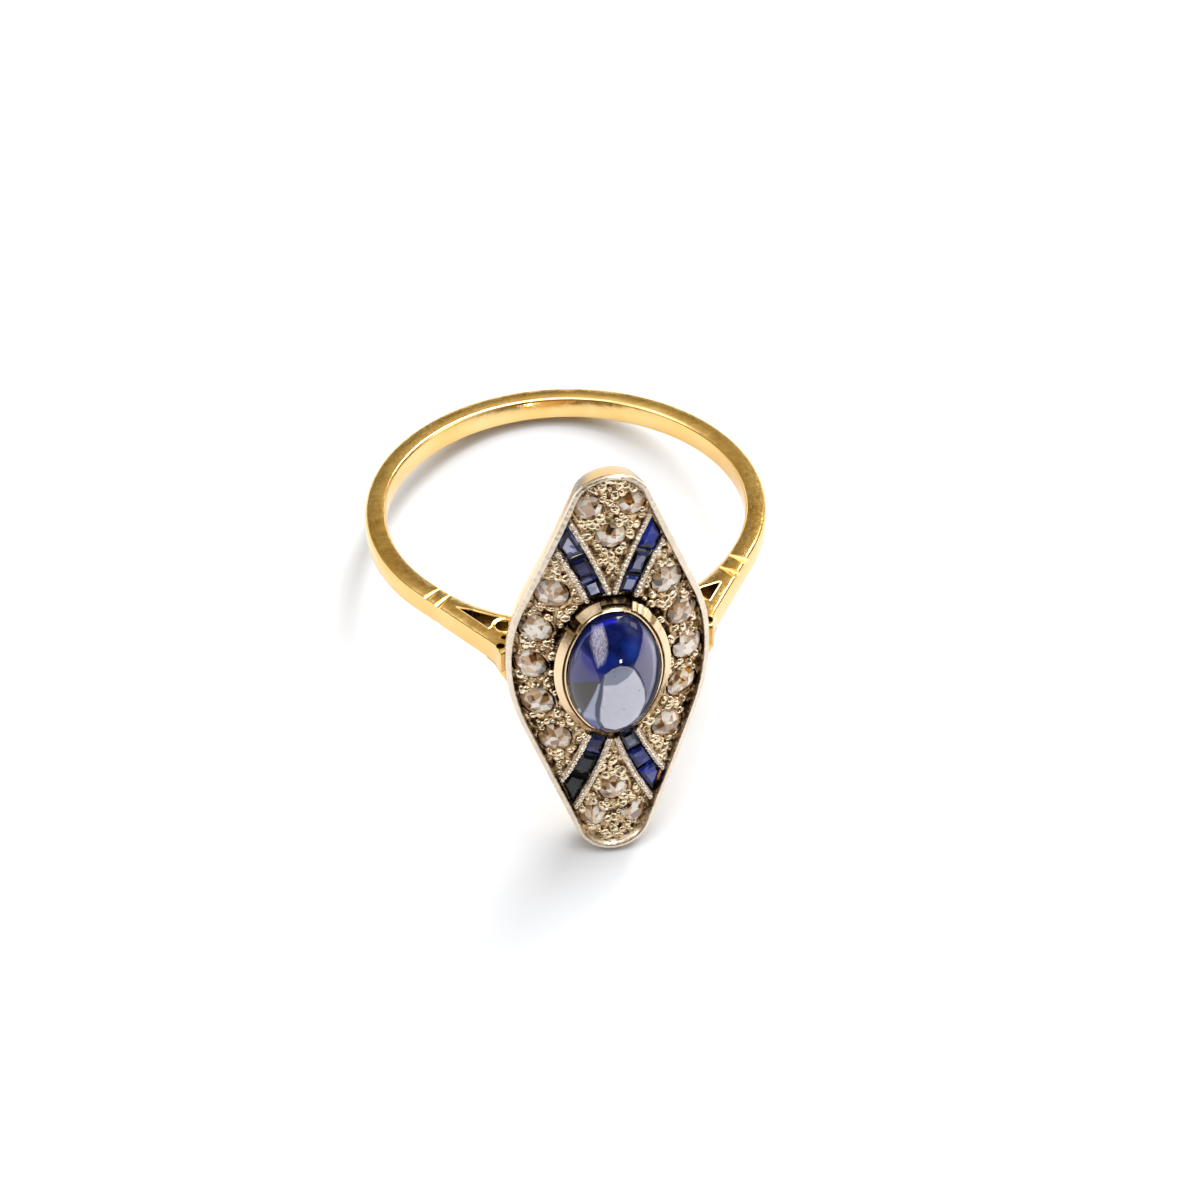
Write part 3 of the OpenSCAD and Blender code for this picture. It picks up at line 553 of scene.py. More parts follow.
def pierced(name, cols, rows, inset, top, bottom, channel, opening, mat, nodes, dirt_and_painted_shade=None):
    """A sheet that follows the head, on a grid whose rows run from flank to flank and lie closer
    toward the tips. Squares that fall in a hole are left out, the corners beside a round or oval
    hole are drawn onto it, and a wall joins the top to the bottom along every edge that has a sheet
    on one side only. A stone's hole is HOLE_SHARE of its radius."""
    reach, quarter = HEAD_L / 2 - inset - 0.004, math.pi / 2 * 0.985
    closer = reach * np.sin(np.linspace(-1, 1, rows) * quarter) / math.sin(quarter)
    n = 0.75 * np.linspace(-reach, reach, rows) + 0.25 * closer
    x = half_width(n, inset)[:, None] * np.linspace(-1, 1, cols)[None]
    n = np.broadcast_to(n[:, None], x.shape).copy()
    mid_x = (x[:-1, :-1] + x[1:, :-1] + x[1:, 1:] + x[:-1, 1:]) / 4
    mid_n = (n[:-1, :-1] + n[1:, 1:]) / 2
    keep = ~inside_rows(mid_x, mid_n, channel) & (oval_out(mid_x, mid_n) > opening)
    for cx, cn, r in diamonds:
        keep &= np.hypot(mid_x - cx, mid_n - cn) > r * HOLE_SHARE
    around = np.pad(keep, 1)
    count = around[:-1, :-1].astype(int) + around[1:, :-1] + around[:-1, 1:] + around[1:, 1:]
    for cx, cn, r in diamonds:
        d = np.hypot(x - cx, n - cn)
        beside = (count > 0) & (count < 4) & (np.abs(d - r * HOLE_SHARE) < 0.1)
        scale = np.where(beside, r * HOLE_SHARE / np.maximum(d, 1e-6), 1.0)
        x, n = cx + (x - cx) * scale, cn + (n - cn) * scale
    beside = (count > 0) & (count < 4) & (np.abs(oval_out(x, n) - opening) < 0.13)
    for _ in range(2):
        scale = 1 + np.where(beside, (opening - oval_out(x, n)) / np.maximum(np.hypot(x, n), 1e-6), 0.0)
        x, n = x * scale, n * scale
    high, low = top(x, n), bottom(x, n)
    points = np.stack([lay(x, front(x, high), n), lay(x, front(x, low), n)]).reshape(-1, 3)
    number = np.arange(rows * cols).reshape(rows, cols)
    face = np.stack([number[:-1, :-1], number[1:, :-1], number[1:, 1:], number[:-1, 1:]], -1)[keep]
    back = face[:, ::-1] + rows * cols
    walls = []
    for here, there, a, b in ((around[1:-1, 1:], around[1:-1, :-1], number[:-1], number[1:]),
                              (around[1:, 1:-1], around[:-1, 1:-1], number[:, 1:], number[:, :-1])):
        ab = np.stack([b, a, a + rows * cols, b + rows * cols], -1)
        walls += [ab[here & ~there], ab[there & ~here][:, ::-1]]
    faces = np.concatenate([face, back] + walls)
    used, faces = np.unique(faces, return_inverse=True)
    faces = faces.reshape(-1, 4)
    dirt_and_shade = None
    if dirt_and_painted_shade is not None:
        # The sheet's underside is darkened too: painted shade under it.
        dirt_and_shade = np.concatenate([dirt_and_painted_shade(x, n, high).ravel(), np.full(x.size, 0.35)])[used]
    return mesh_piece(name, points[used], [faces], mat, nodes, 35, dirt_and_shade)


pierced("back_sheet", 110, 250, 0.42, lambda x, n: -0.71 + 0 * x, lambda x, n: 0.002 - DEPTH + 0 * x,
        -0.12, 0.4, yellow_gold, ["gold_ring"])

# The collet: a gold tube bent to the oval of the middle stone. A thin lip is rubbed over the
# stone's edge, with a groove and a sloping rim outside it that is worn and partly cut away.
LIP_H = 0.12
angle = np.linspace(0, 2 * math.pi, 720, endpoint=False)
degrees = np.degrees(angle)
CUTS = ((62, 106), (142, 150))
cut = np.any([(degrees > start) & (degrees < end) for start, end in CUTS], 0)
worn = 0.05 * np.sin(np.radians(degrees * 5 + 20)) + 0.03 * np.sin(np.radians(degrees * 11))
ragged = 0.5 + 0.5 * np.sin(np.radians(degrees * 15 + 50)) * np.sin(np.radians(degrees * 22))
ragged = ragged * 0.18 * np.clip((degrees - 22) / 8, 0, 1) * np.clip((66 - degrees) / 6, 0, 1)
rim = np.where(cut, 0.19, 0.51 - 0.6 * ragged)
rim_level = np.where(cut, -0.30, -0.34 + worn * 0.3 - 0.4 * ragged)
foot = np.where(cut, -0.42, rim_level - 0.02)
# Each corner of the section: [mm outside the stone's oval, level from the top of the lip].
section = [(-0.10, -0.50), (0.0, -0.50), (0.0, -0.03), (0.02, 0.0), (0.075, 0.0), (0.095, -0.03),
           (0.13, -0.10), (np.where(cut, 0.18, 0.16), np.where(cut, -0.2, -0.035 + worn * 0.2)),
           (np.where(cut, 0.185, 0.20), np.where(cut, -0.25, -0.02 + worn * 0.2)),
           (rim - 0.03, rim_level + 0.03), (rim, rim_level), (rim, foot), (0.49, -0.9),
           (0.49, -LIP_H - DEPTH), (-0.10, -LIP_H - DEPTH)]
rows = []
for out, h in section:
    x, n = oval(angle, out)
    rows.append(lay(x, FRONT_F + LIP_H + h, n))
collet_gold = polished_gold("collet_gold", "#FCE6C6", "#E8BF88", "#2A1808", 0.19)
# Dirt and painted shade are kept in the groove, on the foot, in the cuts and on the ragged rim.
kept_dirt_and_shade = np.array([0, 0, 0, 0, 0, 0.3, 0.7, 0.6, 0.05, 0, 0.1, 0.8, 0.9, 0.9, 0.5])[:, None] + 0 * angle
kept_dirt_and_shade[8:] = np.maximum(kept_dirt_and_shade[8:], np.where(cut, 0.95, 0.0))
kept_dirt_and_shade[9:11] = np.maximum(kept_dirt_and_shade[9:11], 2.2 * ragged)
skin("collet", np.stack(rows), collet_gold, ["gold_ring"], wrap=True, sharp=30, dirt_and_painted_shade=kept_dirt_and_shade)

# The setting plate: white gold over the yellow, cut down inside a plain raised rim, with the
# metal pushed up into beads over the edges of the stones. Dirt and tarnish stay in the cuts, and
# painted shade darkens them too.
rim_w = 0.26 - 0.07 * np.clip((np.abs(navette(0.0)[:, 1]) - 8.0) / 2.4, 0, 1)


def white_gold(name, light, deep, tarnish_and_shade, rough, bite):
    """White gold or silver topping: pale and faintly warm, punched and scraped by the graver into
    bosses about 0.3 mm wide, and brown where the darkening attribute says so: kept dirt and
    tarnish together with painted shade."""
    mat, tree, shader, coords = new_finish(name)
    drift = add(tree, "ShaderNodeTexNoise", {"Vector": coords, "Scale": 1500.0, "Detail": 4.0})
    tone = add(tree, "ShaderNodeMix", {0: drift.outputs[0], 6: linear(light), 7: linear(deep)},
               data_type="RGBA")
    grime_and_shade = add(tree, "ShaderNodeAttribute", attribute_name="dirt_and_painted_shade")
    speck = add(tree, "ShaderNodeMapRange", {0: drift.outputs[0], 1: 0.35, 2: 0.65, 3: 0.35, 4: 1.25})
    much = add(tree, "ShaderNodeMath", {0: grime_and_shade.outputs["Fac"], 1: speck.outputs[0]}, operation="MULTIPLY")
    kept_dirt_and_shade = add(tree, "ShaderNodeMix", {0: much.outputs[0], 6: tone.outputs[2], 7: linear(tarnish_and_shade)},
               data_type="RGBA")
    tree.links.new(kept_dirt_and_shade.outputs[2], shader.inputs["Base Color"])
    strokes = add(tree, "ShaderNodeTexVoronoi", {"Vector": coords, "Scale": 3600.0})
    gloss = add(tree, "ShaderNodeMapRange", {0: strokes.outputs["Distance"], 3: rough, 4: rough + 0.15})
    tree.links.new(gloss.outputs[0], shader.inputs["Roughness"])
    relief = add(tree, "ShaderNodeBump",
                 {"Height": strokes.outputs["Distance"], "Strength": bite, "Distance": 0.00014}, invert=True)
    tree.links.new(relief.outputs[0], shader.inputs["Normal"])
    shader.inputs["Metallic"].default_value = 1.0
    return mat


rim_white = white_gold("white_gold_rim", "#EFE2D2", "#D6C4AC", "#58401E", 0.22, 0.15)
cut_white = white_gold("white_gold_cut_by_graver", "#FCE2BA", "#DAAE76", "#3C240A", 0.2, 0.7)
# The beads are painted paler than the cut plate they were raised from: painted light on them, besides their
# brighter polish.
painted_lit_bead_white = white_gold("white_gold_beads_painted_paler", "#FFF2DA", "#F8DAB0", "#4A3012", 0.16, 0.5)
milgrain_white = white_gold("white_gold_milgrain", "#FFF6EA", "#F4DEC6", "#8A745E", 0.2, 0.6)
# The rim's inner slope and wall are darkened, less at the tips: painted shade, with dirt.
edging("raised_rim", [(0.0, -0.19), (0.0, -0.04), (0.012, -0.012), (0.05, 0.0), (rim_w - 0.04, 0.0),
                      (rim_w, -0.03), (rim_w + 0.02, -0.12), (0.33, -0.28), (0.37, FLOOR_H - 0.1),
                      (0.28, FLOOR_H - 0.1), (0.28, -0.19)], rim_white, ["white_plate"],
       np.outer([0, 0, 0, 0, 0, 0.25, 0.85, 1, 1, 1, 0], np.where(np.abs(outline[:, 1]) > 9.2, 0.3, 0.85)))


def smooth_noise(x, n, seed, size):
    """A soft random field: eight crossed sine waves about as long as size, summed and scaled."""
    rng = np.random.default_rng(seed)
    turn, phase = rng.uniform(0, math.pi, 8), rng.uniform(0, 2 * math.pi, 8)
    pace = 2 * math.pi / size * rng.uniform(0.7, 1.4, 8)
    waves = [np.sin(p * (x * np.cos(t) + n * np.sin(t)) + q) for t, q, p in zip(turn, phase, pace)]
    return np.sum(waves, 0) / 4


def plate_top(x, n):
    """The level of the cut plate: a rough floor, a ridge of pushed metal round each stone that
    falls into its seat, a bank along the rim and round the collet."""
    h = FLOOR_H + 0.06 + 0.05 * smooth_noise(x, n, 3, 0.8) + 0.03 * smooth_noise(x, n, 4, 0.4)
    for k, (cx, cn, r) in enumerate(diamonds):
        d = np.hypot(x - cx, n - cn)
        a = np.arctan2(n - cn, x - cx)
        ridge = 0.10 * np.exp(-((d - r - 0.07) / 0.08) ** 2) * (0.7 + 0.5 * np.sin(4 * a + 1.3 * k))
        seat = np.clip((r + 0.02 - d) / 0.1, 0, 1)
        h = np.where(d < r + 0.5, h + ridge, h)
        h = h * (1 - seat) + (FLOOR_H - 0.12) * seat
    near_rim = np.clip(1 - (half_width(n, 0.35) - np.abs(x)) / 0.12, 0, 1)
    h = h + 0.04 * near_rim
    near_collet = np.clip((oval_out(x, n) - 0.5) / 0.25, 0, 1)
    return np.maximum(h - 0.12 * (1 - near_collet), PLATE_BACK + 0.05)


def plate_dirt_and_shade(x, n, h):
    """Dirt and painted shade lie where the plate is low, and beside the stones."""
    low = np.clip((-0.29 - h) / 0.14, 0, 1)
    return np.clip(0.15 + 0.75 * low + 0.3 * smooth_noise(x, n, 9, 0.45), 0, 1)


pierced("cut_plate", 180, 370, 0.30, plate_top, lambda x, n: PLATE_BACK + 0 * x, 0.05, 0.52,
        cut_white, ["white_plate"], plate_dirt_and_shade)


def beads(name, x, n, h, r, mat, nodes, cols=10, rows=6, long=0.0):
    """Beads of metal on the curved front: rings from the bottom of a ball to its top. Each is drawn
    out by some share of its radius in a direction of its own."""
    u = np.linspace(-math.pi / 2 + 0.16, math.pi / 2 - 0.10, rows)[None, :, None]
    a = np.linspace(0, 2 * math.pi, cols, endpoint=False)[None, None]
    lie = np.random.default_rng(21).uniform(0, math.pi, len(x))[:, None, None]
    x, n, h, r = (np.broadcast_to(v, np.shape(x))[:, None, None] for v in (x, n, h, r))
    slope = np.arcsin(x / CURVE)
    drawn = r * np.cos(u) * (1 + long * np.cos(a - lie) ** 2)
    across, out = drawn * np.cos(a), h + r * np.sin(u) * (1 - 0.45 * long)
    px = x + across * np.cos(slope) + out * np.sin(slope)
    pf = front(x, 0.0) - across * np.sin(slope) + out * np.cos(slope)
    return skin(name, lay(px, pf, n + drawn * np.sin(a)), mat, nodes, sharp=60)


# The milgrained strips: low walls of white gold left standing on each side of the calibre rows,
# with a row of tiny beads rolled along their tops.
STRIP_W, BEAD_STEP = 0.29, 0.215
# Each corner of a strip's section: [share of its width, level].
STRIP = ((0.0, -0.6), (0.0, -0.24), (0.1, -0.21), (0.9, -0.21), (1.0, -0.24), (1.0, -0.6))
strip_points, dots = [], []
for qx in (1, -1):
    for qn in (1, -1):
        for side in (-1, 1):
            near, far = row_edge(side, 0.0), row_edge(side, STRIP_W)
            s = np.linspace(0, 3, 40)
            a = np.stack([np.interp(s, range(4), near[:, k]) for k in (0, 1)], -1) * [qx, qn]
            b = np.stack([np.interp(s, range(4), far[:, k]) for k in (0, 1)], -1) * [qx, qn]
            ring = []
            for share, h in STRIP:
                p = a * (1 - share) + b * share
                ring.append(lay(p[:, 0], front(p[:, 0], h), p[:, 1]))
            strip_points.append(np.stack(ring, 1))
            mid = (a + b) / 2
            run = np.concatenate([[0], np.cumsum(np.linalg.norm(np.diff(mid, axis=0), axis=1))])
            steps = np.arange(0.08, run[-1] - 0.04, BEAD_STEP)
            dots.append(np.stack([np.interp(steps, run, mid[:, 0]), np.interp(steps, run, mid[:, 1])], -1))
strip_points = np.stack(strip_points)
# The strips' ground between the beads is darkened evenly: tarnish with painted shade between the beads.
skin("milgrain_strips", strip_points, milgrain_white, ["white_plate"],
     dirt_and_painted_shade=np.full(strip_points.shape[:3], 0.6))
dots = np.concatenate(dots)
beads("milgrain", dots[:, 0], dots[:, 1], -0.19, 0.12, milgrain_white, ["white_plate"], 8, 5)

# The grains: beads of the plate's own metal, raised with a graver and rounded with a punch. They
# stand over the edges of the diamonds, in the corners beside the flanks and the tips, and between.
rng = np.random.default_rng(11)
spots = []
for k, (cx, cn, r) in enumerate(diamonds):
    a = np.radians(45 + 90 * np.arange(4) + rng.uniform(-14, 14, 4) + (20 if k % 2 else 0))
    spots.append(np.stack([cx + (r + 0.08) * np.cos(a), cn + (r + 0.08) * np.sin(a)], -1))
for qx in (1, -1):
    for qn in (1, -1):
        n = 5.21 + np.array([0.0, 0.02, 0.42, 0.75])
        x = half_width(n, 0.53) - np.array([0.0, 0.42, 0.1, 0.0])
        spots.append(np.stack([qx * x, qn * n], -1))
for qn in (1, -1):
    spots.append(np.array([[0.0, 9.95], [0.0, 9.25], [0.95, 8.15], [-0.95, 8.15], [0.45, 10.1],
                           [-0.45, 10.1], [0.12, 10.42], [-0.3, 10.36], [0.72, 10.05], [-0.75, 10.0],
                           [1.05, 9.7], [-1.05, 9.72], [0.0, 6.35], [0.0, 5.7], [0.3, 6.6], [-0.3, 6.6]])
                 * [1, qn])
GRAIN_STEP_X, GRAIN_STEP_N = 0.42, 0.36
i, j = np.meshgrid(np.arange(-14, 15), np.arange(-32, 33))
between = np.stack([(i + 0.5 * (j % 2)) * GRAIN_STEP_X, j * GRAIN_STEP_N], -1).reshape(-1, 2)
between = between + rng.uniform(-0.13, 0.13, between.shape)
apart = np.min([np.hypot(between[:, 0] - cx, between[:, 1] - cn) - r for cx, cn, r in diamonds], 0)
spots.append(between[apart > 0.05])
spots = np.concatenate(spots)
free = (np.abs(spots[:, 0]) < half_width(spots[:, 1], 0.40)) & ~inside_rows(spots[:, 0], spots[:, 1], 0.3)
free &= oval_out(spots[:, 0], spots[:, 1]) > 0.62
spots = spots[free]
size = 0.09 + 0.14 * rng.uniform(0, 1, len(spots)) ** 1.2
# The grains take the paler bead finish, a painted lit copy of the plate's metal.
beads("grains", spots[:, 0], spots[:, 1], FLOOR_H + 0.07, size, painted_lit_bead_white, ["white_plate"],
      long=0.35)

# The middle stone: a sapphire ground to a smooth oval dome and polished. It is a deep royal blue
# that runs out into grey and lavender at the sides, with a large pale patch low on the right. The
# grey, the lavender and the pale patch are painted reflections of the room.
cabochon_blue, tree, shader, coords = new_finish("polished_sapphire_dome")
zoning_and_painted_reflections = add(tree, "ShaderNodeAttribute", attribute_name="zoning_and_painted_reflections")
silk = add(tree, "ShaderNodeTexNoise", {"Vector": coords, "Scale": 2600.0, "Detail": 4.0})
veil = add(tree, "ShaderNodeMapRange", {0: silk.outputs[0], 1: 0.35, 2: 0.65, 3: 0.0, 4: 0.07})
tone = add(tree, "ShaderNodeMix", {0: veil.outputs[0], 6: zoning_and_painted_reflections.outputs["Color"], 7: linear("#4A62B8")},
           data_type="RGBA")
# Fine scratches, 0.03 mm wide and some mm long, show as a pale brushed streak on the upper left.
brushed = add(tree, "ShaderNodeMapping",
              {"Vector": coords, "Rotation": (-LEAN, 0.0, 0.0), "Scale": (1.0, 1.0, 7.0)},
              vector_type="TEXTURE")
lines = add(tree, "ShaderNodeTexNoise", {"Vector": brushed.outputs[0], "Scale": 20000.0, "Detail": 3.0})
thin = add(tree, "ShaderNodeMapRange", {0: lines.outputs[0], 1: 0.4, 2: 0.6, 3: 0.34, 4: 0.95})
much = add(tree, "ShaderNodeMath", {0: thin.outputs[0], 1: zoning_and_painted_reflections.outputs["Alpha"]}, operation="MULTIPLY")
tone = add(tree, "ShaderNodeMix", {0: much.outputs[0], 6: tone.outputs[2], 7: linear("#C4BDD2")},
           data_type="RGBA")
# Specks of dust, under 0.1 mm across, lie about on the polish.
dust = add(tree, "ShaderNodeTexVoronoi", {"Vector": coords, "Scale": 2300.0, "Randomness": 1.0})
spot = add(tree, "ShaderNodeMapRange", {0: dust.outputs["Distance"], 1: 0.05, 2: 0.12, 3: 0.75, 4: 0.0})
tone = add(tree, "ShaderNodeMix", {0: spot.outputs[0], 6: tone.outputs[2], 7: linear("#5E6274")},
           data_type="RGBA")
tree.links.new(tone.outputs[2], shader.inputs["Base Color"])
shader.inputs["Roughness"].default_value = 0.03
shader.inputs["IOR"].default_value = 1.77
# The dome is painted to mirror less at parts of its edge: painted shade from the collet's lip,
# which would keep the room's light from it.
painted_lit = add(tree, "ShaderNodeAttribute", attribute_name="painted_lit")
mirror = add(tree, "ShaderNodeMapRange", {0: painted_lit.outputs["Fac"], 3: 0.02, 4: 0.24})
tree.links.new(mirror.outputs[0], shader.inputs["Specular IOR Level"])
DOME_H = 1.3
a = np.linspace(0, 2 * math.pi, 400, endpoint=False)
u = np.concatenate([[0.0, 0.0], np.linspace(0, math.pi / 2 - 0.006, 136)])
edge_x, edge_n = oval(a, -0.03)
pull = np.cos(u)[:, None]
pull[0] = 0.96
level_h = np.concatenate([[-0.5, -0.44], DOME_H * np.sin(u[2:])])[:, None]
dome_x, dome_n = edge_x * pull, edge_n * pull
dome = skin("cabochon_dome", lay(dome_x, FRONT_F + LIP_H + level_h, dome_n), cabochon_blue,
            ["cabochon"], sharp=40)


def patch(corners, soft):
    """1 inside the polygon of [x, n] corners, 0 outside, with a soft border of that width in mm."""
    corners = np.array(corners, float)
    nearest, inside = np.full(dome_x.shape, 9.0), np.zeros(dome_x.shape, bool)
    for p, q in zip(corners, np.roll(corners, -1, 0)):
        way = q - p
        t = np.clip(((dome_x - p[0]) * way[0] + (dome_n - p[1]) * way[1]) / (way @ way), 0, 1)
        nearest = np.minimum(nearest, np.hypot(dome_x - p[0] - t * way[0], dome_n - p[1] - t * way[1]))
        inside ^= ((p[1] > dome_n) != (q[1] > dome_n)) & (
            dome_x < way[0] * (dome_n - p[1]) / np.where(way[1] == 0, 1e-9, way[1]) + p[0])
    return np.clip(0.5 + np.where(inside, nearest, -nearest) / soft, 0, 1)


PAINTED_PALE_REFLECTION = [(-0.62, 0.85), (-0.3, 1.15), (0.05, 1.27), (0.4, 1.18), (0.7, 0.95), (1.0, 0.3), (1.2, -0.4),
        (1.24, -1.2), (0.95, -2.1), (0.45, -2.6), (-0.1, -2.85), (-0.6, -2.6), (-0.84, -2.0), (-0.86, -1.2),
        (-0.76, -0.3), (-0.72, 0.3)]
zone_and_painted_reflection = np.zeros(dome_x.shape + (3,)) + linear("#040D48")[:3]
edge = np.where(pull > 0, 1 - pull, 0) + 0 * dome_x
# The colours lie over one another in this order: two brighter blues, the left edge and side, the
# line beside the pale patch, the right side and edge, the pale patch and the shade at its top, a
# glint and the dark foot. Besides the stone's own blues, these are painted reflections, painted
# shade at the edges and at the pale patch's top, and a painted glint.
EDGE_COLOURS = ("#1418E8", "#06061C", "#1A22B4")
layers = [
    ("#0C3496", 0.8 * patch([(0.3, 2.3), (0.9, 2.4), (1.05, 1.9), (0.8, 1.4), (0.4, 1.5)], 0.5)),
    ("#0C2C8A", 0.7 * patch([(-1.35, 1.7), (-0.3, 1.9), (0.2, 1.5), (-0.5, 1.1), (-0.8, 0.6), (-1.0, 0.8)],
                            0.4)),
    ("#1418E8", patch([(-2.5, 0.9), (-1.98, 1.3), (-1.66, 1.95), (-1.36, 2.5), (-1.05, 2.85), (-0.6, 3.12),
                       (0.1, 3.25), (0.2, 3.8), (-2.5, 3.4)], 0.08)),
    ("#A0A4E4", 0.7 * patch([(-1.9, 1.2), (-1.62, 2.0), (-1.38, 2.45), (-1.0, 2.9), (-1.46, 2.5),
                             (-1.76, 1.9)], 0.05)),
    ("#58547E", patch([(-2.5, 0.1), (-2.0, 0.9), (-1.85, 1.3), (-1.6, 1.95), (-1.2, 1.6), (-1.0, 1.0),
                       (-0.85, 0.5), (-1.4, 0.42), (-1.95, 0.12)], 0.08)),
    ("#5048A8", 0.5 * patch([(-1.5, 2.1), (-1.2, 1.6), (-1.0, 1.0), (-0.95, 0.7), (-1.3, 0.8), (-1.55, 1.5)],
                            0.25)),
    ("#524C46", patch([(-2.5, 0.15), (-1.95, 0.15), (-1.4, 0.42), (-0.85, 0.5), (-1.0, 0.0), (-1.28, -0.7),
                       (-1.48, -1.5), (-2.5, -1.5)], 0.06)),
    ("#B6BAD2", patch([(-0.95, 0.35), (-0.7, 0.5), (-0.9, -0.6), (-0.9, -1.6), (-0.8, -2.9), (-1.5, -2.4),
                       (-1.55, -1.7), (-1.3, -0.75), (-1.05, 0.0)], 0.07)),
    ("#3A4C9C", 0.8 * patch([(-1.5, -2.0), (-0.9, -2.0), (-0.8, -3.0), (-1.6, -2.6)], 0.25)),
    ("#4C5068", patch([(-0.5, 1.05), (-0.68, 0.5), (-0.76, -0.3), (-0.86, -1.2), (-0.84, -2.0), (-0.7, -2.5),
                       (-0.9, -2.5), (-1.08, -1.6), (-1.08, -0.9), (-0.94, -0.1), (-0.85, 0.45),
                       (-0.68, 0.9)], 0.06)),
    ("#787490", patch([(1.34, 2.8), (1.16, 2.1), (0.96, 1.6), (0.70, 1.12), (0.95, 0.7), (1.15, 0.1),
                       (1.3, -0.6), (1.28, -1.5), (1.9, -1.0), (2.3, 0.5), (2.1, 1.6), (1.7, 2.4)], 0.07)),
    ("#A5A2B4", 0.8 * patch([(1.5, 2.1), (1.66, 1.3), (1.64, 0.3), (1.46, -0.6), (1.62, -0.3), (1.8, 0.5),
                             (1.78, 1.5)], 0.12)),
    ("#06061C", patch([(1.76, 1.95), (1.86, 0.9), (1.74, -0.2), (1.42, -1.2), (0.95, -2.2), (2.4, -1.6),
                       (2.5, 2.0)], 0.07)),
    ("#1A22B4", patch([(0.5, 3.6), (0.9, 3.12), (1.4, 2.7), (1.85, 1.9), (1.98, 2.1), (1.5, 2.95),
                       (0.8, 3.6)], 0.06)),
    ("#DCDCEC", patch(PAINTED_PALE_REFLECTION, 0.07)),
    ("#9094A8", patch(PAINTED_PALE_REFLECTION, 0.07) * patch([(-0.9, 0.28), (-0.1, 0.3), (0.4, 0.6), (0.75, 1.0), (0.4, 1.6),
                                           (-0.9, 1.6)], 0.08)),
    ("#C4D6FA", patch([(-1.72, -1.45), (-1.66, -1.6), (-1.68, -1.95), (-1.78, -2.05), (-1.82, -1.7)], 0.1)),
    ("#04072C", np.clip(1.3 - edge / 0.05, 0, 1)),
]
for colour, mask in layers:
    zone_and_painted_reflection += mask[..., None] * (np.array(linear(colour)[:3]) - zone_and_painted_reflection)
scratched = patch([(-0.58, 3.12), (-0.47, 2.6), (-0.5, 2.0), (-0.66, 1.5), (-0.93, 1.26), (-1.05, 1.8),
                   (-1.16, 2.4), (-0.98, 2.95)], 0.16)
layer = dome.data.attributes.new("zoning_and_painted_reflections", "FLOAT_COLOR", "POINT")
layer.data.foreach_set("color", np.append(zone_and_painted_reflection, scratched[..., None], -1).astype(np.float32).ravel())
# The painted shade at the dome's edge follows the three edge zones.
painted_shade = np.max([mask for colour, mask in layers if colour in EDGE_COLOURS], 0)
layer = dome.data.attributes.new("painted_lit", "FLOAT", "POINT")
layer.data.foreach_set("value", (1 - painted_shade).astype(np.float32).ravel())

# The diamonds: sixteen old stones, some with an eight-sided table and some rose cut with six
# sides, each cut by hand, so that no two have the same table, turn or crown. They are faintly
# champagne, and set low so that their girdles lie in the plate.


def gem(name, tones, ior, spread, mirror):
    """A cut stone whose facet tones are painted reflections. Each facet shows another part of the room
    and of the stone's own back, so that the facet attribute picks its tone from a ramp of dark to pale,
    besides what it really mirrors. Cells 0.35 mm across shift that tone by up to spread: the broken
    picture inside one facet."""
    mat, tree, shader, coords = new_finish(name)
    facet = add(tree, "ShaderNodeAttribute", attribute_name="facet")
    broken = add(tree, "ShaderNodeTexVoronoi", {"Vector": coords, "Scale": 2900.0})
    shift = add(tree, "ShaderNodeMapRange",
                {0: broken.outputs["Color"], 1: 0.2, 2: 0.8, 3: -spread, 4: spread})
    much = add(tree, "ShaderNodeMath", {0: facet.outputs["Fac"], 1: shift.outputs[0]}, operation="ADD")
    ramp = add(tree, "ShaderNodeValToRGB", {"Fac": much.outputs[0]})
    stops = ramp.color_ramp.elements
    for number, (at, colour) in enumerate(tones):
        stop = stops[number] if number < 2 else stops.new(at)
        stop.position, stop.color = at, linear(colour)
    tree.links.new(ramp.outputs["Color"], shader.inputs["Base Color"])
    shader.inputs["Roughness"].default_value = 0.02
    shader.inputs["IOR"].default_value = ior
    shader.inputs["Specular IOR Level"].default_value = mirror
    return mat


SEAT_R = CURVE + FLOOR_H + 0.04


def seated(x, across, level_h):
    """x and f of a stone's points. The stone is turned to face straight out of the curved front at
    x: its points lie across that direction, and level_h above its seat."""
    slope, out = math.asin(x / SEAT_R), SEAT_R + level_h
    return (out * math.sin(slope) + across * math.cos(slope),
            AXIS_F + out * math.cos(slope) - across * math.sin(slope))


def tone_facets(stone, tones):
    """Gives each facet of a stone its own place on the ramp of its material."""
    layer = stone.data.attributes.new("facet", "FLOAT", "FACE")
    layer.data.foreach_set("value", tones.astype(np.float32))


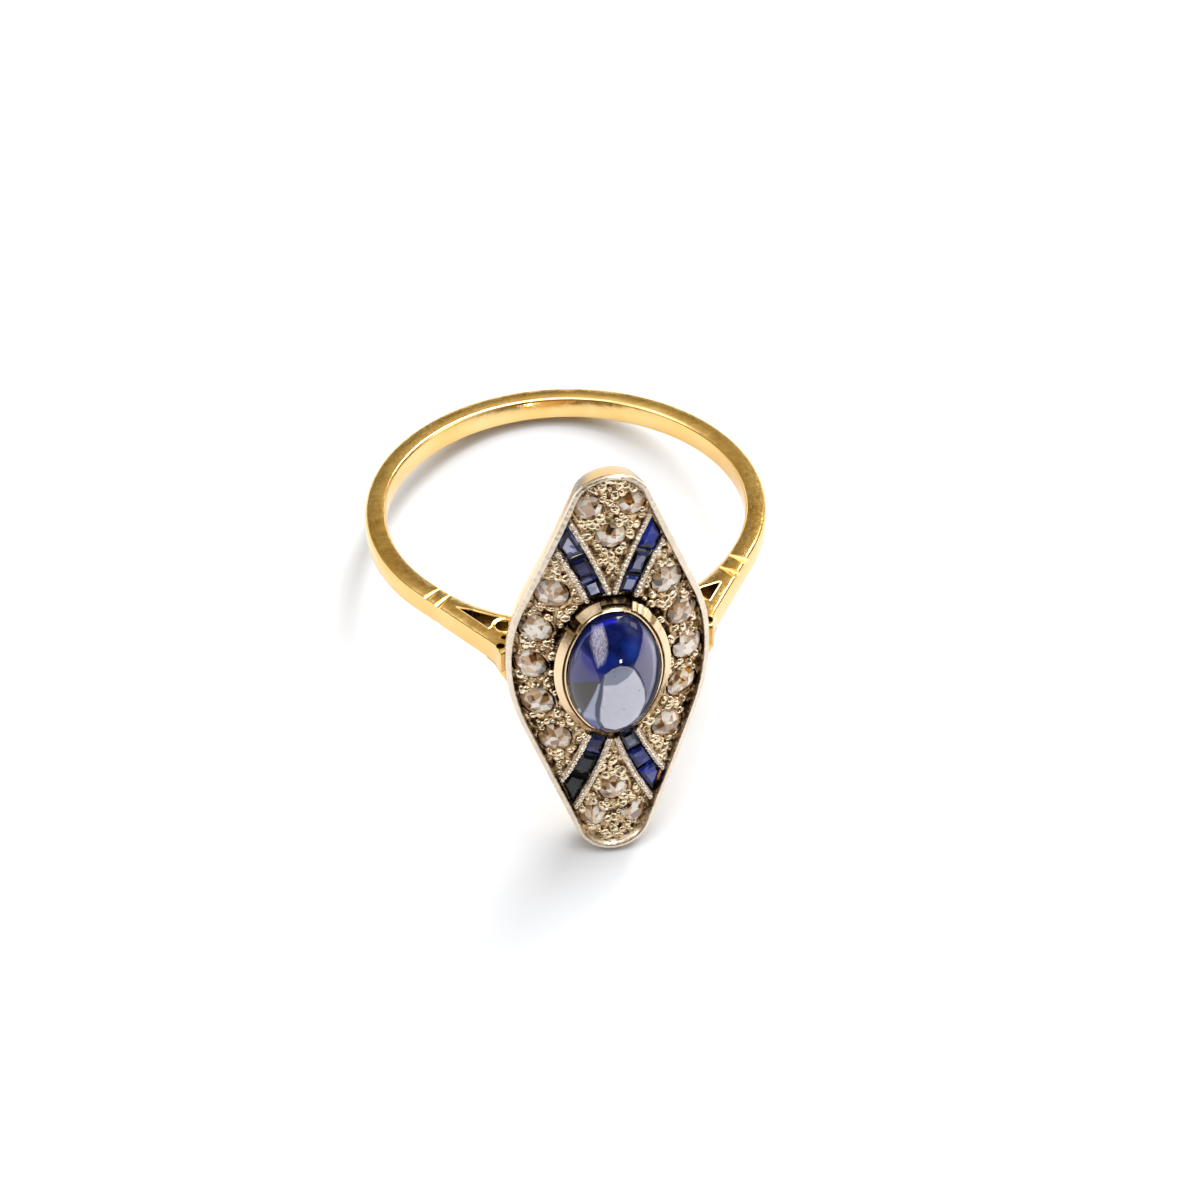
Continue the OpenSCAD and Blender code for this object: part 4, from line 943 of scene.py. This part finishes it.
# Each tone: [its place on the ramp, its colour]. The two ends come first.
CHAMPAGNE = [(0.0, "#2A1806"), (1.0, "#FFF6EA"), (0.2, "#7A5024"), (0.4, "#AC8056"), (0.66, "#D6B08A"),
             (0.86, "#ECCDB0")]
# The fire is a painted orange glint in a few facets' tones.
PAINTED_FIRE = [(0.0, "#6A3606"), (1.0, "#FFF6EA"), (0.2, "#E08A1C"), (0.36, "#80562A"), (0.55, "#BE9468"),
        (0.8, "#E4C4A2")]
champagne = gem("old_cut_diamond", CHAMPAGNE, 2.2, 0.42, 0.5)
painted_fire_gem = gem("old_cut_diamond_with_painted_fire", PAINTED_FIRE, 2.2, 0.42, 0.5)
OLD_CUT, WITH_PAINTED_FIRE = (0, 4, 5, 9, 10, 14), (1, 11)
rng = np.random.default_rng(5)
for k, (cx, cn, r) in enumerate(diamonds):
    m = 8 if k in OLD_CUT else 6
    table_r, crown = (rng.uniform(0.42, 0.52), 0.27) if m == 8 else (rng.uniform(0.22, 0.34), 0.28)
    first = rng.uniform(0, math.pi)
    i, j = np.arange(m), np.arange(2 * m)
    # Each ring: [how many corners, share of the radius, level, share of a turn between corners].
    rings = [(m, table_r, crown, 0), (m, 0.5 * (table_r + 1.02), crown * 0.6, 0.5), (2 * m, 0.985, 0, 0),
             (2 * m, 0.985, -0.05, 0), (m, 0.12, -0.54, 0)]
    corners = []
    for count, share, level_h, offset in rings:
        a = first + (np.arange(count) + offset) * 2 * math.pi / count
        ring_r = r * share * (1 + (rng.uniform(-0.07, 0.07, count) if 0.15 < share < 0.9 else 0))
        corners.append(np.stack([ring_r * np.cos(a), ring_r * np.sin(a), np.full(count, level_h)], -1))
    across, along_n, level_h = np.concatenate(corners).T
    # Where each ring's corners start: the table, the crown, the girdle's two edges and the culet.
    A, B, G, D, C = 0, m, 2 * m, 4 * m, 6 * m
    nxt, prv, nxt2 = (i + 1) % m, (i - 1) % m, (j + 1) % (2 * m)
    triangles = np.concatenate([
        np.stack([A + i, A + nxt, B + i], -1), np.stack([B + i, G + 2 * i + 1, G + 2 * i], -1),
        np.stack([B + i, G + (2 * i + 2) % (2 * m), G + 2 * i + 1], -1),
        np.stack([C + i, D + 2 * i, D + 2 * i + 1], -1), np.stack([C + nxt, C + i, D + 2 * i + 1], -1),
        np.stack([C + nxt, D + 2 * i + 1, D + (2 * i + 2) % (2 * m)], -1)])
    kites = np.stack([A + i, B + i, G + 2 * i, B + prv], -1)
    girdle = np.stack([G + j, G + nxt2, D + nxt2, D + j], -1)
    facets = [triangles, np.concatenate([kites, girdle]), A + i[None, ::-1], C + i[None]]
    stone = mesh_piece("diamond_cut_%02d" % (k + 1), lay(*seated(cx, across, level_h), cn + along_n), facets,
                       painted_fire_gem if k in WITH_PAINTED_FIRE else champagne, ["diamond_%02d" % (k + 1)], 0)
    # Painted light and shade: the table is pale, the small facets above the girdle are darker, and
    # the girdle is dark.
    tones = rng.uniform(0.2, 1.35, len(stone.data.polygons))
    tones[-2] = rng.uniform(0.6, 0.95)
    tones[m:3 * m] *= 0.7
    tones[7 * m:9 * m] = -0.3
    tone_facets(stone, tones)

# The calibre sapphires: twelve small stones step cut to fit their row, darker and paler blue as
# they came from the parcel, with a table and two rows of steps. Each sits a little tipped.
# Each stone: [body blue, the painted reflection in its table, how much of that shows].
BLUES = [("#36469C", "#C4C8E4", 0.95), ("#1C2866", "#9094AC", 0.85), ("#1834B4", "#5C6AA8", 0.5),
         ("#384894", "#DADEEC", 0.95), ("#20225C", "#5E5C94", 0.45), ("#525EAC", "#D0D0EA", 0.75),
         ("#262672", "#5A5090", 0.4), ("#0E1830", "#3A4A5C", 0.35), ("#0A1216", "#30403E", 0.4),
         ("#343E5C", "#A4ACC0", 0.75), ("#1A2A84", "#6468A4", 0.55), ("#2A40B0", "#8080AC", 0.6)]
quarters = [(1, 1), (-1, 1), (-1, -1), (1, -1)]
# Each step of the cut: [share of the stone's size, level above its girdle].
STEPS = [(0.52, 0.15), (0.80, 0.10), (0.985, 0.01), (0.985, -0.08), (0.70, -0.26), (0.22, -0.40)]
rng = np.random.default_rng(8)
for k in range(12):
    body, painted_table_reflection, shown = BLUES[k]
    blue = gem("calibre_sapphire_%02d" % (k + 1), [(0.0, "#02040E"), (1.0, painted_table_reflection), (0.45, body)],
               1.77, 0.26, 0.2)
    which, (qx, qn) = k % 3, quarters[k // 3]
    a, b = row_edge(-1, 0.0), row_edge(1, 0.0)
    gap = 0.03 * row_dir[which]
    quad = np.array([a[which], b[which], b[which + 1] - gap, a[which + 1] - gap])
    mid = quad.mean(0)
    share, level_h = np.array(STEPS).T
    across = (quad[:, 0] - mid[0])[None] * share[:, None]
    along_n = (quad[:, 1] - mid[1])[None] * share[:, None]
    tip = rng.uniform(-0.10, 0.10, 2)
    tipped = level_h[:, None] + (tip[0] * across + tip[1] * along_n) * (level_h > 0)[:, None]
    px, pf = seated(mid[0], across, tipped)
    stone = skin("sapphire_cut_%02d" % (k + 1), lay(qx * px, pf, qn * (mid[1] + along_n)), blue,
                 ["sapphire_%02d" % (k + 1)], sharp=0)
    tones = rng.uniform(-0.25, 0.55, len(stone.data.polygons))
    # The table facet shows its painted reflection.
    tones[-2] = shown
    tone_facets(stone, tones)
